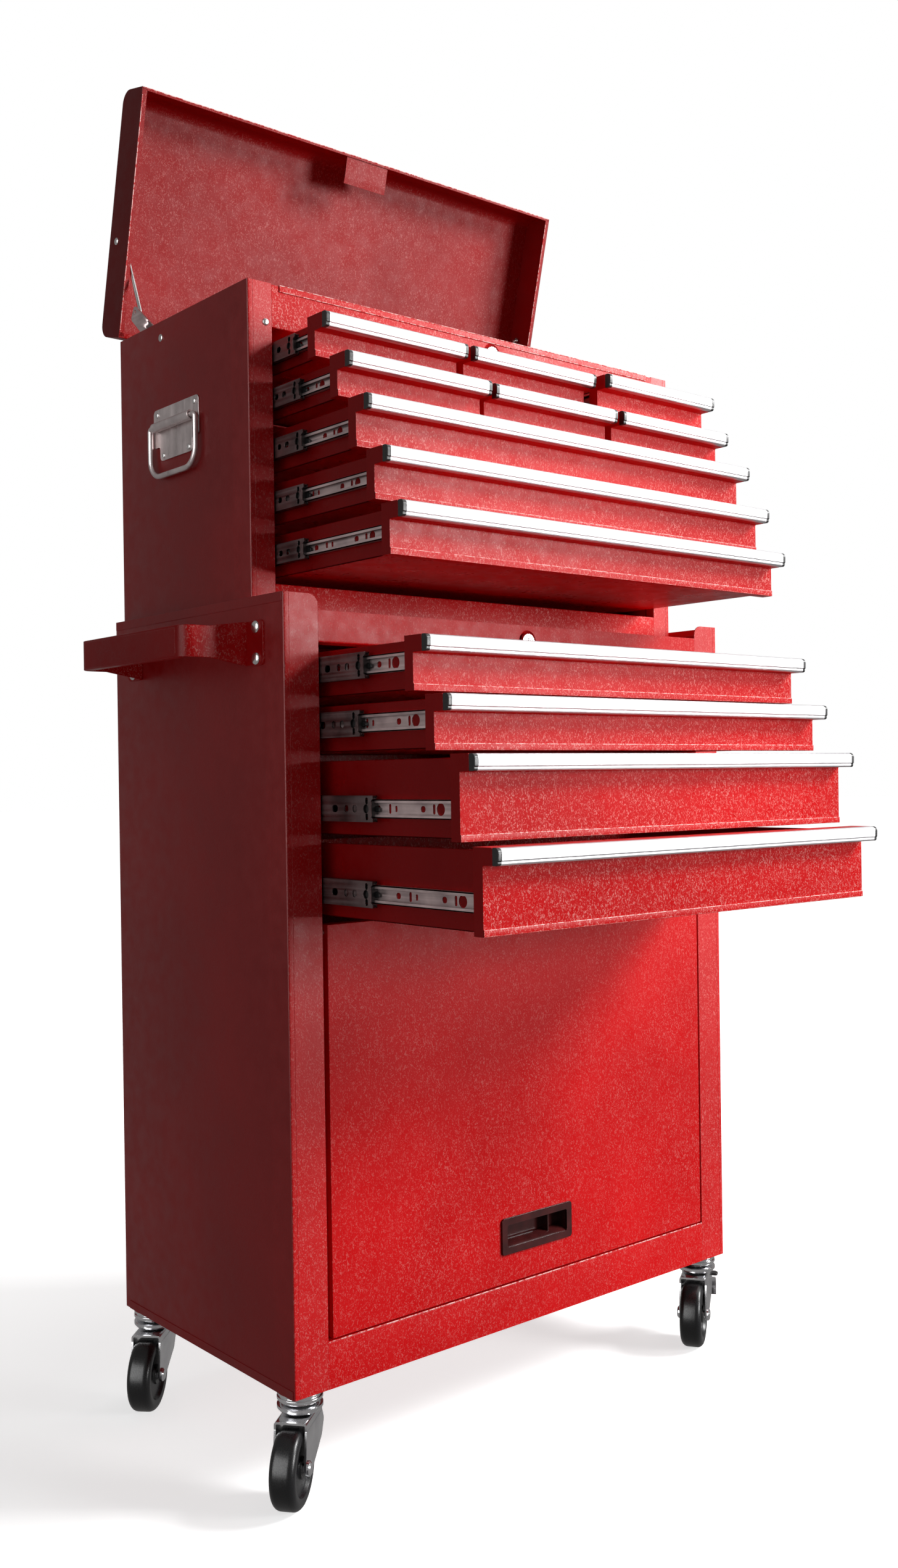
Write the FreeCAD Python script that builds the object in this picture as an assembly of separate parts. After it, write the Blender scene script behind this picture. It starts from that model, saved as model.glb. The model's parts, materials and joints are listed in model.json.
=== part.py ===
"""Rolling tool chest: a thirteen-drawer sheet-steel chest on casters.

A top chest with a lift-up lid stands on the deck of a rolling cabinet.  Every
function works in one cabinet frame: x to the right, y to the back with y = 0 at
the cabinet's front face, z up with z = 0 at the cabinet's underside.  main()
moves everything to the part's own origin, which is the centre of the whole
object's footprint at floor level.  All lengths are millimetres.
"""
import FreeCAD, Part

import math
import os

from FreeCAD import Vector

# ---------------------------------------------------------------- sheet metal
SHEET = 1.2
TRAY_SHEET = 1.0
GAP = 0.3                       # running clearance between moving surfaces

# -------------------------------------------------------------------- cabinet
CABINET_WIDTH = 616.0
CABINET_DEPTH = 330.0
CABINET_HEIGHT = 749.0          # underside to the top of the side lips
CABINET_OPENING = 269.0         # half width between the stiles
CABINET_RETURN = 14.0           # depth of the stile's inward return
DECK_TOP = 734.0
DECK_FLANGE = 14.0
LOCK_RAIL_BOTTOM = 703.5
BOTTOM_RAIL_TOP = 45.0
POST_BOTTOM = 438.0

# ---------------------------------------------------------------------- chest
CHEST_WIDTH = 600.0
CHEST_FRONT = 66.0              # y of the chest's front face
CHEST_DEPTH = 260.0
CHEST_TOP = 1056.6
CHEST_OPENING = 272.5
CHEST_RETURN = 12.0
CHEST_OPENING_BOTTOM = 765.5
CHEST_OPENING_TOP = 1014.0
TILL_FLOOR_TOP = 1016.4
SHELF_BOTTOM = 922.4
DIVIDER_THICKNESS = 3.0
CHEST_BACK = CHEST_FRONT + CHEST_DEPTH
COLUMN_WIDTH = (2.0 * CHEST_OPENING - 2.0 * DIVIDER_THICKNESS) / 3.0
COLUMN_PITCH = COLUMN_WIDTH + DIVIDER_THICKNESS

# -------------------------------------------------------------------- drawers
FRONT_DEPTH = 12.0              # folded thickness of a drawer front
NOSE_DEPTH = 12.0               # folded steel under each pull
NOSE_HEIGHT = 15.0
PULL_DEPTH = 8.0                # aluminium bar in front of the nose
CAP_WIDTH = 4.0
LIP_HEIGHT = 6.0
LIP_STEP = 1.0
SLIDE_SPACE = 12.7              # room for one slide beside a tray
SLIDE_START = 14.5              # front end of a closed slide, behind the face
SLIDE_SHEET = 1.2

CABINET_BAY = {
    "face": 0.0, "front_half": 267.0, "tray_half": CABINET_OPENING - SLIDE_SPACE,
    "slide_length": 290.0, "slide_rise": 27.0, "travel": 250.0,
    "member_heights": (30.0, 24.0, 17.0),
}
CHEST_BAY = {
    "face": CHEST_FRONT, "front_half": 269.5, "tray_half": CHEST_OPENING - SLIDE_SPACE,
    "slide_length": 230.0, "slide_rise": 22.0, "travel": 195.0,
    "member_heights": (25.0, 19.5, 13.0),
}
SMALL_BAY = {
    "face": CHEST_FRONT, "front_half": 87.0, "tray_half": COLUMN_WIDTH / 2.0 - SLIDE_SPACE,
    "slide_length": 230.0, "slide_rise": 19.5, "travel": 180.0,
    "member_heights": (25.0, 19.5, 13.0),
}

# name, bay, column centre, underside, height, how far it stands open,
# how far its slides' middle members stand out
DRAWERS = (
    ("cabinet_drawer_1", CABINET_BAY, 0.0, 650.7, 48.3, 139.0, 83.5),
    ("cabinet_drawer_2", CABINET_BAY, 0.0, 598.3, 48.3, 166.5, 74.5),
    ("cabinet_drawer_3", CABINET_BAY, 0.0, 520.5, 74.3, 199.0, 92.5),
    ("cabinet_drawer_4", CABINET_BAY, 0.0, 443.0, 74.3, 226.5, 90.5),
    ("small_drawer_upper_left", SMALL_BAY, -COLUMN_PITCH, 971.0, 39.0, 68.0, 50.0),
    ("small_drawer_upper_middle", SMALL_BAY, 0.0, 971.0, 39.0, 68.5, 50.0),
    ("small_drawer_upper_right", SMALL_BAY, COLUMN_PITCH, 971.0, 39.0, 80.5, 52.0),
    ("small_drawer_lower_left", SMALL_BAY, -COLUMN_PITCH, 926.5, 39.0, 103.0, 58.0),
    ("small_drawer_lower_middle", SMALL_BAY, 0.0, 926.5, 39.0, 99.5, 57.0),
    ("small_drawer_lower_right", SMALL_BAY, COLUMN_PITCH, 926.5, 39.0, 100.5, 57.5),
    ("chest_drawer_1", CHEST_BAY, 0.0, 875.0, 46.0, 130.5, 61.5),
    ("chest_drawer_2", CHEST_BAY, 0.0, 823.5, 46.0, 157.0, 61.5),
    ("chest_drawer_3", CHEST_BAY, 0.0, 772.0, 46.0, 178.0, 61.5),
)

# ------------------------------------------------------------------------ lid
HINGE_Y = 329.0
HINGE_Z = 1059.0
HINGE_RADIUS = 3.0
HINGE_PIN_RADIUS = 1.4
HINGE_LENGTH = 560.0
KNUCKLES = 14
LID_OPEN = 76.0                 # degrees from closed to the stays' stop
LID_RISE = 0.5                  # rim above the hinge axis when closed
LID_HEIGHT = 43.0
LID_BACK = 325.6
LID_CORNER = 14.0
LID_HEM = 6.0
STRIKE_HALF_WIDTH = 30.0
STRIKE_DEPTH = 33.0

# ------------------------------------------------------------------ lid stays
STAY_BODY_PIVOT = (235.0, 1039.4)
STAY_LID_PIVOT = (330.0, 1168.0)
STAY_KNEE = (295.0, 1082.0)
STAY_LINK_X = 296.8             # centre plane of the flat link
STAY_ROD_X = 290.5
STAY_ROD_RADIUS = 2.0
STAY_PIN_RADIUS = 2.0

# ----------------------------------------------------------------------- door
DOOR_LEFT = -263.5
DOOR_RIGHT = 266.5
DOOR_BOTTOM = 47.0
DOOR_TOP = 437.5
DOOR_DEPTH = 16.0
DOOR_PIVOT_Y = 7.0
DOOR_PIVOT_Z = 430.0
DOOR_PIN_RADIUS = 2.5
CUP_LEFT = -49.0
CUP_RIGHT = 52.0
CUP_BOTTOM = 77.0
CUP_TOP = 115.0
CUP_DEPTH = 15.0
CUP_RIM = 6.0

# ---------------------------------------------------------------------- locks
LOCK_CUP_RADIUS = 12.0
LOCK_CUP_DEPTH = 5.0
LOCK_RADIUS = 8.5
CABINET_LOCK = (0.0, 0.0, 717.0)
CHEST_LOCK = (14.0, CHEST_FRONT, 1038.0)

# -------------------------------------------------------------------- handles
PUSH_REACH = 72.0
PUSH_SHEET = 2.0
PUSH_CENTRE_Y = 166.0
PUSH_ARM_HALF = 106.0
PUSH_FLANGE = 30.0
PUSH_FLANGE_BOTTOM = 683.0
PUSH_FLANGE_TOP = 726.0
PUSH_GRIP_BOTTOM = 690.0
PUSH_GRIP_TOP = 720.0
PUSH_BOLT_INSET = 18.0
BAIL_CENTRE_Y = 204.0
BAIL_AXIS_Z = 945.0
BAIL_HALF_WIDTH = 46.0
BAIL_DROP = 52.0
BAIL_RADIUS = 3.0
BAIL_OFFSET = 5.5               # bail axis outside the chest's side
BARREL_RADIUS = 5.0
HANDLE_PLATE_TOP = 965.0
HANDLE_PLATE_STEP = 925.0
HANDLE_PLATE_BOTTOM = 910.0

# -------------------------------------------------------------------- casters
CASTER_HEIGHT = 100.0
CASTER_X = 286.0
CASTER_FRONT_Y = 24.0
CASTER_REAR_Y = 306.0
WHEEL_RADIUS = 37.5
WHEEL_WIDTH = 25.0
TREAD_ROUND = 7.0
AXLE_RADIUS = 4.0
TRAIL = 28.0
STEM_RADIUS = 6.0
RACEWAY_RADIUS = 22.0
CROWN_TOP = -12.2
CROWN_BOTTOM = -20.0
LEG_INNER = 14.0
LEG_SHEET = 2.0
BRAKE_PIVOT = (20.0, -42.0)     # along the rolling direction, and height
# name, x, y, rolling direction in degrees from +y towards +x, has a brake
CASTERS = (
    ("front_left", -CASTER_X, CASTER_FRONT_Y, 51.0, False),
    ("front_right", CASTER_X, CASTER_FRONT_Y, 57.0, True),
    ("rear_left", -CASTER_X, CASTER_REAR_Y, 46.0, False),
    ("rear_right", CASTER_X, CASTER_REAR_Y, 52.0, True),
)


# ============================================================ shape functions
def box(x0, x1, y0, y1, z0, z1):
    """A box from its lower to its upper coordinate on each axis."""
    return Part.makeBox(x1 - x0, y1 - y0, z1 - z0, Vector(x0, y0, z0))


def rod(radius, start, end):
    """A cylinder of the given radius between two points."""
    start = Vector(*start)
    along = Vector(*end) - start
    return Part.makeCylinder(radius, along.Length, start, along)


def fused(shapes):
    """One solid out of touching or overlapping shapes."""
    return shapes[0].multiFuse(shapes[1:]).removeSplitter()


def mirrored(shape):
    """The same piece on the other side of the plane x = 0."""
    return shape.mirror(Vector(0, 0, 0), Vector(1, 0, 0))


def rounded_wire(corners):
    """A closed wire through (point, radius) corners, each rounded by an arc."""
    arcs = []
    count = len(corners)
    for index, (here, radius) in enumerate(corners):
        to_last = (corners[index - 1][0] - here).normalize()
        to_next = (corners[(index + 1) % count][0] - here).normalize()
        if radius == 0.0:
            arcs.append((here, None, here))
            continue
        half = to_last.getAngle(to_next) / 2.0
        cut = radius / math.tan(half)
        bisector = (to_last + to_next).normalize()
        middle = here + bisector * (radius / math.sin(half) - radius)
        arcs.append((here + to_last * cut, middle, here + to_next * cut))
    edges = []
    for index, (start, middle, end) in enumerate(arcs):
        if middle is not None:
            edges.append(Part.Arc(start, middle, end).toShape())
        following = arcs[(index + 1) % count][0]
        edges.append(Part.LineSegment(end, following).toShape())
    return Part.Wire(edges)


def extruded_x(corners, x0, x1):
    """Extrude (y, z, radius) corners along x."""
    wire = rounded_wire([(Vector(x0, y, z), radius) for y, z, radius in corners])
    return Part.Face(wire).extrude(Vector(x1 - x0, 0, 0))


def extruded_z(corners, z0, z1):
    """Extrude (x, y, radius) corners along z."""
    wire = rounded_wire([(Vector(x, y, z0), radius) for x, y, radius in corners])
    return Part.Face(wire).extrude(Vector(0, 0, z1 - z0))


def dome(base, outward, radius, height):
    """A round rivet or bolt head standing on a surface."""
    sphere = (radius ** 2 + height ** 2) / (2.0 * height)
    rise = sphere - height
    outward = Vector(*outward)
    centre = Vector(*base) - outward * rise
    lowest = math.degrees(math.asin(rise / sphere))
    return Part.makeSphere(sphere, centre, outward, lowest, 90.0, 360.0)


# ==================================================================== cabinet
def wrapped_shell(width, front, back, bottom, top, opening, stile_return):
    """Two sides, a back and two front stiles bent from one sheet."""
    half = width / 2.0
    outer = box(-half, half, front, back, bottom, top)
    inside = box(-half + SHEET, half - SHEET, front + SHEET, back - SHEET, bottom - 1, top + 1)
    mouth = box(-opening, opening, front - 1, front + SHEET + 1, bottom - 1, top + 1)
    pieces = [outer.cut(inside).cut(mouth)]
    flange = box(opening, opening + SHEET, front, front + stile_return, bottom, top)
    pieces += [flange, mirrored(flange)]
    return fused(pieces)


def cabinet_shell():
    shell = wrapped_shell(CABINET_WIDTH, 0.0, CABINET_DEPTH, 0.0, CABINET_HEIGHT,
                          CABINET_OPENING, CABINET_RETURN)
    reach = CABINET_OPENING + 2.0 * SHEET
    pin_holes = rod(DOOR_PIN_RADIUS + GAP, (-reach, DOOR_PIVOT_Y, DOOR_PIVOT_Z),
                    (reach, DOOR_PIVOT_Y, DOOR_PIVOT_Z))
    return [shell.cut(pin_holes)]


def with_lock_cup(rail, lock):
    """Press a round cup for a lock cylinder into a front rail."""
    x, y, z = lock
    outer = rod(LOCK_CUP_RADIUS + SHEET, (x, y, z), (x, y + LOCK_CUP_DEPTH, z))
    pocket = rod(LOCK_CUP_RADIUS, (x, y - 1, z), (x, y + LOCK_CUP_DEPTH - SHEET, z))
    bore = rod(LOCK_RADIUS + GAP, (x, y - 1, z), (x, y + LOCK_CUP_DEPTH + 1, z))
    return rail.fuse(outer).cut(pocket).cut(bore).removeSplitter()


def cabinet_front_rails():
    span = CABINET_OPENING
    lock_rail = fused([
        box(-span, span, 0, SHEET, LOCK_RAIL_BOTTOM, DECK_TOP),
        box(-span, span, 0, 20, LOCK_RAIL_BOTTOM, LOCK_RAIL_BOTTOM + SHEET),
    ])
    lock_rail = with_lock_cup(lock_rail, CABINET_LOCK)
    bottom_rail = fused([
        box(-span, span, 0, SHEET, 0, BOTTOM_RAIL_TOP),
        box(-span, span, 0, 20, BOTTOM_RAIL_TOP - SHEET, BOTTOM_RAIL_TOP),
    ])
    return [lock_rail, bottom_rail]


def cabinet_deck():
    """The plate the chest stands on, with flanges turned down behind the walls."""
    half = CABINET_WIDTH / 2.0 - SHEET
    back = CABINET_DEPTH - SHEET
    flange_bottom = DECK_TOP - DECK_FLANGE
    deck = fused([
        box(-half, half, SHEET, back, DECK_TOP - SHEET, DECK_TOP),
        box(-half, -half + SHEET, 20, back, flange_bottom, DECK_TOP),
        box(half - SHEET, half, 20, back, flange_bottom, DECK_TOP),
        box(-half, half, back - SHEET, back, flange_bottom, DECK_TOP),
    ])
    return [deck.cut(cabinet_shell()[0])]


def caster_channel(y0, y1):
    """A cross channel under the floor that carries two casters."""
    half = CABINET_WIDTH / 2.0 - 3.0
    top = BOTTOM_RAIL_TOP - SHEET
    web = 2.0
    channel = fused([
        box(-half, half, y0, y1, 0, web),
        box(-half, half, y0, y0 + web, 0, top),
        box(-half, half, y1 - web, y1, 0, top),
    ])
    for name, x, y, heading, braked in CASTERS:
        if y0 < y < y1:
            channel = channel.cut(rod(STEM_RADIUS + GAP, (x, y, -1), (x, y, web + 1)))
    return channel


def cabinet_floor():
    half = CABINET_WIDTH / 2.0 - SHEET
    plate = box(-half, half, 20, CABINET_DEPTH - SHEET, BOTTOM_RAIL_TOP - SHEET, BOTTOM_RAIL_TOP)
    front = caster_channel(CABINET_RETURN + 1.0, 60.0)
    rear = caster_channel(268.0, 326.0)
    return [plate, front, rear]


# ====================================================================== chest
def chest_shell():
    return [wrapped_shell(CHEST_WIDTH, CHEST_FRONT, CHEST_BACK, DECK_TOP, CHEST_TOP,
                          CHEST_OPENING, CHEST_RETURN)]


def chest_front_rails():
    span = CHEST_OPENING
    front = CHEST_FRONT
    top_rail = fused([
        box(-span, span, front, front + SHEET, CHEST_OPENING_TOP, CHEST_TOP),
        box(-span, span, front, front + 12, CHEST_OPENING_TOP, CHEST_OPENING_TOP + SHEET),
        box(-span, span, front, front + 7, CHEST_TOP - SHEET, CHEST_TOP),
    ])
    top_rail = with_lock_cup(top_rail, CHEST_LOCK)
    shelf = CHEST_OPENING_BOTTOM - SHEET
    bottom_rail = fused([
        box(-span, span, front, front + SHEET, DECK_TOP, CHEST_OPENING_BOTTOM),
        box(-span, span, front, front + 12, shelf, CHEST_OPENING_BOTTOM),
    ])
    return [top_rail, bottom_rail]


def chest_inner_panels():
    """Till floor, bottom pan, the small drawers' shelf and their two dividers."""
    half = CHEST_WIDTH / 2.0 - SHEET
    front = CHEST_FRONT + SHEET
    back = CHEST_BACK - SHEET
    inset = CHEST_FRONT + FRONT_DEPTH + 2.0
    pan_top = CHEST_OPENING_BOTTOM - SHEET
    shell = chest_shell()[0]
    panels = [
        box(-half, half, front, back, CHEST_OPENING_TOP + SHEET, TILL_FLOOR_TOP).cut(shell),
        box(-half, half, front, back, pan_top - SHEET, pan_top).cut(shell),
        box(-CHEST_OPENING, CHEST_OPENING, inset, back, SHELF_BOTTOM, SHELF_BOTTOM + SHEET),
    ]
    thick = DIVIDER_THICKNESS / 2.0
    for side in (-1, 1):
        x = side * COLUMN_PITCH / 2.0
        panels.append(box(x - thick, x + thick, inset, back,
                          SHELF_BOTTOM + SHEET, CHEST_OPENING_TOP + SHEET))
    return panels


def slide_post(inner, outer, y0, y1, z0, z1):
    """An upright channel beside the drawers, open towards the side wall."""
    return fused([
        box(inner, inner + SHEET, y0, y1, z0, z1),
        box(inner, outer, y0, y0 + SHEET, z0, z1),
        box(inner, outer, y1 - SHEET, y1, z0, z1),
    ])


def slide_posts():
    cabinet_wall = CABINET_WIDTH / 2.0 - SHEET
    chest_wall = CHEST_WIDTH / 2.0 - SHEET
    cabinet_top = DECK_TOP - DECK_FLANGE
    posts = []
    for y0 in (16.0, 272.0):
        posts.append(slide_post(CABINET_OPENING, cabinet_wall, y0, y0 + 30.0, POST_BOTTOM,
                                cabinet_top))
    for y0 in (CHEST_FRONT + 14.0, CHEST_FRONT + 215.0):
        posts.append(slide_post(CHEST_OPENING, chest_wall, y0, y0 + 26.0,
                                CHEST_OPENING_BOTTOM, CHEST_OPENING_TOP))
    return posts + [mirrored(post) for post in posts]


# ===================================================================== slides
def slide_channel(web_start, web_end, flange_end, height, y0, length, z):
    """One member of a slide beside a tray wall at x = 0, running along y."""
    low = z - height / 2.0
    high = z + height / 2.0
    web = sorted((web_start, web_end))
    flange = sorted((web_start, flange_end))
    return fused([
        box(web[0], web[1], y0, y0 + length, low, high),
        box(flange[0], flange[1], y0, y0 + length, low, low + SLIDE_SHEET),
        box(flange[0], flange[1], y0, y0 + length, high - SLIDE_SHEET, high),
    ])


def slide_members(bay, underside, member):
    """Both copies of one slide member: 0 fixed outer, 1 middle, 2 on the tray."""
    z = underside + bay["slide_rise"]
    height = bay["member_heights"][member]
    y0 = bay["face"] + SLIDE_START
    spans = (
        (SLIDE_SPACE, SLIDE_SPACE - SLIDE_SHEET, 4.5),
        (SLIDE_SPACE - 1.9, SLIDE_SPACE - 1.9 - SLIDE_SHEET, 3.0),
        (0.0, SLIDE_SHEET, 6.5),
    )
    web_start, web_end, flange_end = spans[member]
    right = slide_channel(web_start, web_end, flange_end, height, y0, bay["slide_length"], z)
    right.translate(Vector(bay["tray_half"], 0, 0))
    return [right, mirrored(right)]


def placed(shapes, x, y):
    """Move shapes across and forward, and hand them back."""
    for shape in shapes:
        shape.translate(Vector(x, y, 0))
    return shapes


def slide_outer_members():
    members = []
    for name, bay, x, underside, height, extension, middle in DRAWERS:
        members += placed(slide_members(bay, underside, 0), x, 0)
    return members


# ==================================================================== drawers
def drawer_tray(bay, z0, height):
    """The tray with its folded front, in one welded piece."""
    face = bay["face"]
    half = bay["front_half"]
    tray = bay["tray_half"]
    top = z0 + height
    nose_bottom = top - NOSE_HEIGHT
    inner = face + FRONT_DEPTH
    back = inner + bay["slide_length"] + 4.0
    floor = z0 + 2.0
    side_top = top - 3.0
    sheet = TRAY_SHEET
    return fused([
        # front: face, proud bottom lip, nose under the pull, top and rear turn-down
        box(-half, half, face, face + SHEET, z0, nose_bottom),
        box(-half, half, face - LIP_STEP, face + SHEET, z0, z0 + LIP_HEIGHT),
        box(-half, half, face, inner, z0, z0 + SHEET),
        box(-half, half, face - NOSE_DEPTH, face + SHEET, nose_bottom, nose_bottom + SHEET),
        box(-half, half, face - NOSE_DEPTH, face - NOSE_DEPTH + SHEET, nose_bottom, top),
        box(-half, half, face - NOSE_DEPTH, inner, top - SHEET, top),
        # tray: front wall, floor, sides and back
        box(-tray, tray, inner - SHEET, inner, z0, top),
        box(-tray, tray, inner - SHEET, back, floor, floor + sheet),
        box(-tray, -tray + sheet, inner - SHEET, back, floor, side_top),
        box(tray - sheet, tray, inner - SHEET, back, floor, side_top),
        box(-tray, tray, back - sheet, back, floor, side_top),
    ])


def pull_profile(face, top):
    """Cross-section of a pull as (y, z, radius) corners."""
    back = face - NOSE_DEPTH
    front = back - PULL_DEPTH
    bottom = top - NOSE_HEIGHT
    return ((back, top, 0.0), (front, top, 4.0), (front, bottom, 3.0), (back, bottom, 0.0))


def drawer(bay, x, z0, height, extension):
    """Tray, aluminium pull, two end caps and the slides' inner members."""
    half = bay["front_half"]
    profile = pull_profile(bay["face"], z0 + height)
    pieces = [
        drawer_tray(bay, z0, height),
        extruded_x(profile, -half + CAP_WIDTH, half - CAP_WIDTH),
        extruded_x(profile, -half, -half + CAP_WIDTH),
        extruded_x(profile, half - CAP_WIDTH, half),
    ]
    pieces += slide_members(bay, z0, 2)
    return placed(pieces, x, -extension)


# ======================================================================== lid
def opened(shapes):
    """Turn shapes drawn with the lid closed to the lid's open position."""
    for shape in shapes:
        shape.rotate(Vector(0, HINGE_Y, HINGE_Z), Vector(1, 0, 0), -LID_OPEN)
    return shapes


def lid():
    """A shallow pan with rolled front and back corners and a hemmed rim."""
    half = CHEST_WIDTH / 2.0
    rim = HINGE_Z + LID_RISE
    top = rim + LID_HEIGHT
    front = CHEST_FRONT
    outer = extruded_x(((front, rim, 0.0), (front, top, LID_CORNER), (LID_BACK, top, LID_CORNER),
                        (LID_BACK, rim, 0.0)), -half, half)
    inner_corner = LID_CORNER - SHEET
    hollow = extruded_x(((front + SHEET, rim - 1, 0.0), (front + SHEET, top - SHEET, inner_corner),
                         (LID_BACK - SHEET, top - SHEET, inner_corner),
                         (LID_BACK - SHEET, rim - 1, 0.0)), -half + SHEET, half - SHEET)
    hem = box(-half, half, front, LID_BACK, rim, rim + SHEET)
    mouth = box(-half + LID_HEM, half - LID_HEM, front + 10.0, LID_BACK - LID_HEM, rim - 1, rim + 2)
    return opened([fused([outer.cut(hollow), hem.cut(mouth)])])


def knuckle_row(first):
    """Every second knuckle of the lid's long hinge."""
    pitch = HINGE_LENGTH / KNUCKLES
    row = []
    for index in range(first, KNUCKLES, 2):
        x0 = -HINGE_LENGTH / 2.0 + index * pitch
        row.append(rod(HINGE_RADIUS, (x0 + GAP, HINGE_Y, HINGE_Z),
                       (x0 + pitch - GAP, HINGE_Y, HINGE_Z)))
    return row


def hinge_pin(radius):
    reach = HINGE_LENGTH / 2.0
    return rod(radius, (-reach, HINGE_Y, HINGE_Z), (reach, HINGE_Y, HINGE_Z))


def lid_hinge_leaf():
    """The hinge's fixed leaf on the chest's back, with its knuckles and pin."""
    reach = HINGE_LENGTH / 2.0
    leaf = box(-reach, reach, CHEST_BACK, CHEST_BACK + SHEET, CHEST_TOP - 22.0, CHEST_TOP - 1.2)
    webs = []
    for knuckle in knuckle_row(0):
        bounds = knuckle.BoundBox
        webs.append(box(bounds.XMin, bounds.XMax, CHEST_BACK, CHEST_BACK + SHEET,
                        CHEST_TOP - 1.2, HINGE_Z))
    return [fused([leaf] + webs + knuckle_row(0) + [hinge_pin(HINGE_PIN_RADIUS)])]


def lid_fittings():
    """What is riveted to the lid: moving hinge leaf, lock strike and stay rivets."""
    reach = HINGE_LENGTH / 2.0
    rim = HINGE_Z + LID_RISE
    leaf = box(-reach, reach, LID_BACK, LID_BACK + SHEET, HINGE_Z + 4.0, HINGE_Z + 22.0)
    webs = []
    for knuckle in knuckle_row(1):
        bounds = knuckle.BoundBox
        webs.append(box(bounds.XMin, bounds.XMax, LID_BACK, LID_BACK + SHEET,
                        HINGE_Z, HINGE_Z + 4.0))
    moving_leaf = fused([leaf] + webs + knuckle_row(1)).cut(hinge_pin(HINGE_PIN_RADIUS + 0.1))
    strike = box(-STRIKE_HALF_WIDTH, STRIKE_HALF_WIDTH, CHEST_FRONT + 2.0,
                 CHEST_FRONT + STRIKE_DEPTH, rim + SHEET, rim + 2.0 * SHEET)
    return opened([moving_leaf, strike])


def stay_rods():
    """Bent wire stays from the lid's side flanges down to the knees."""
    lid_y, lid_z = STAY_LID_PIVOT
    knee_y, knee_z = STAY_KNEE
    x = STAY_ROD_X
    wall = CHEST_WIDTH / 2.0 - SHEET - GAP
    link_face = STAY_LINK_X - 1.0 - 2.0 * GAP
    right = fused([
        rod(STAY_ROD_RADIUS, (x, lid_y, lid_z), (x, knee_y, knee_z)),
        rod(STAY_ROD_RADIUS, (x, lid_y, lid_z), (wall, lid_y, lid_z)),
        rod(STAY_ROD_RADIUS, (x, knee_y, knee_z), (link_face, knee_y, knee_z)),
        Part.makeSphere(STAY_ROD_RADIUS, Vector(x, lid_y, lid_z)),
        Part.makeSphere(STAY_ROD_RADIUS, Vector(x, knee_y, knee_z)),
    ])
    return [right, mirrored(right)]


def stay_links():
    """Flat triangular links on the chest's inner walls."""
    body_y, body_z = STAY_BODY_PIVOT
    knee_y, knee_z = STAY_KNEE
    corners = ((body_y - 8.0, body_z - 4.0, 4.0), (body_y + 18.0, body_z - 8.0, 4.0),
               (knee_y + 9.0, knee_z - 6.0, 4.0), (knee_y + 1.0, knee_z + 8.0, 4.0))
    plate = extruded_x(corners, STAY_LINK_X - 1.0, STAY_LINK_X + 1.0)
    plate = plate.cut(rod(STAY_PIN_RADIUS + GAP, (STAY_LINK_X - 2.0, body_y, body_z),
                          (STAY_LINK_X + 2.0, body_y, body_z)))
    return [plate, mirrored(plate)]


def stay_pin():
    """The right-hand link's pivot pin, headed inside, set in the chest's wall."""
    y, z = STAY_BODY_PIVOT
    inner = STAY_LINK_X - 1.0 - GAP
    return fused([
        rod(STAY_PIN_RADIUS, (inner - 0.5, y, z), (CHEST_WIDTH / 2.0 - SHEET, y, z)),
        rod(4.0, (inner - 1.5, y, z), (inner, y, z)),
    ])


# ======================================================================= door
def door():
    """A folded pan with two hinge pins near its top corners and a pull cut-out."""
    outer = box(DOOR_LEFT, DOOR_RIGHT, 0, DOOR_DEPTH, DOOR_BOTTOM, DOOR_TOP)
    hollow = box(DOOR_LEFT + SHEET, DOOR_RIGHT - SHEET, SHEET, DOOR_DEPTH + 1,
                 DOOR_BOTTOM + SHEET, DOOR_TOP - SHEET)
    cut_out = box(CUP_LEFT + CUP_RIM, CUP_RIGHT - CUP_RIM, -1, SHEET + 1,
                  CUP_BOTTOM + CUP_RIM, CUP_TOP - CUP_RIM)
    reach = CABINET_OPENING + 2.0 * SHEET
    pins = [
        rod(DOOR_PIN_RADIUS, (DOOR_LEFT, DOOR_PIVOT_Y, DOOR_PIVOT_Z),
            (-reach, DOOR_PIVOT_Y, DOOR_PIVOT_Z)),
        rod(DOOR_PIN_RADIUS, (DOOR_RIGHT, DOOR_PIVOT_Y, DOOR_PIVOT_Z),
            (reach, DOOR_PIVOT_Y, DOOR_PIVOT_Z)),
    ]
    return [fused([outer.cut(hollow).cut(cut_out)] + pins)]


def door_pull():
    """A recessed plastic cup with a flange in front of the door's face."""
    flange_front = -2.0
    wall = 2.0
    flange = box(CUP_LEFT, CUP_RIGHT, flange_front, 0, CUP_BOTTOM, CUP_TOP)
    left = CUP_LEFT + CUP_RIM + GAP
    right = CUP_RIGHT - CUP_RIM - GAP
    low = CUP_BOTTOM + CUP_RIM + GAP
    high = CUP_TOP - CUP_RIM - GAP
    body = box(left, right, flange_front, CUP_DEPTH, low, high)
    hollow = box(left + wall, right - wall, flange_front - 1, CUP_DEPTH - wall,
                 low + wall, high - wall)
    return [fused([flange, body]).cut(hollow)]


# ====================================================================== locks
def lock_cylinder(lock, cam_start, cam_length):
    """A lock cylinder with a keyway and, behind it, a cam lying to the right."""
    x, y, z = lock
    barrel = rod(LOCK_RADIUS, (x, y - 1.5, z), (x, y + cam_start + 2.0, z))
    keyway = box(x - 1.0, x + 1.0, y - 2.0, y + 8.0, z - 4.5, z + 4.5)
    cam = box(x, x + cam_length, y + cam_start, y + cam_start + 2.0, z - 5.0, z + 5.0)
    return [fused([barrel, cam]).cut(keyway)]


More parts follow.
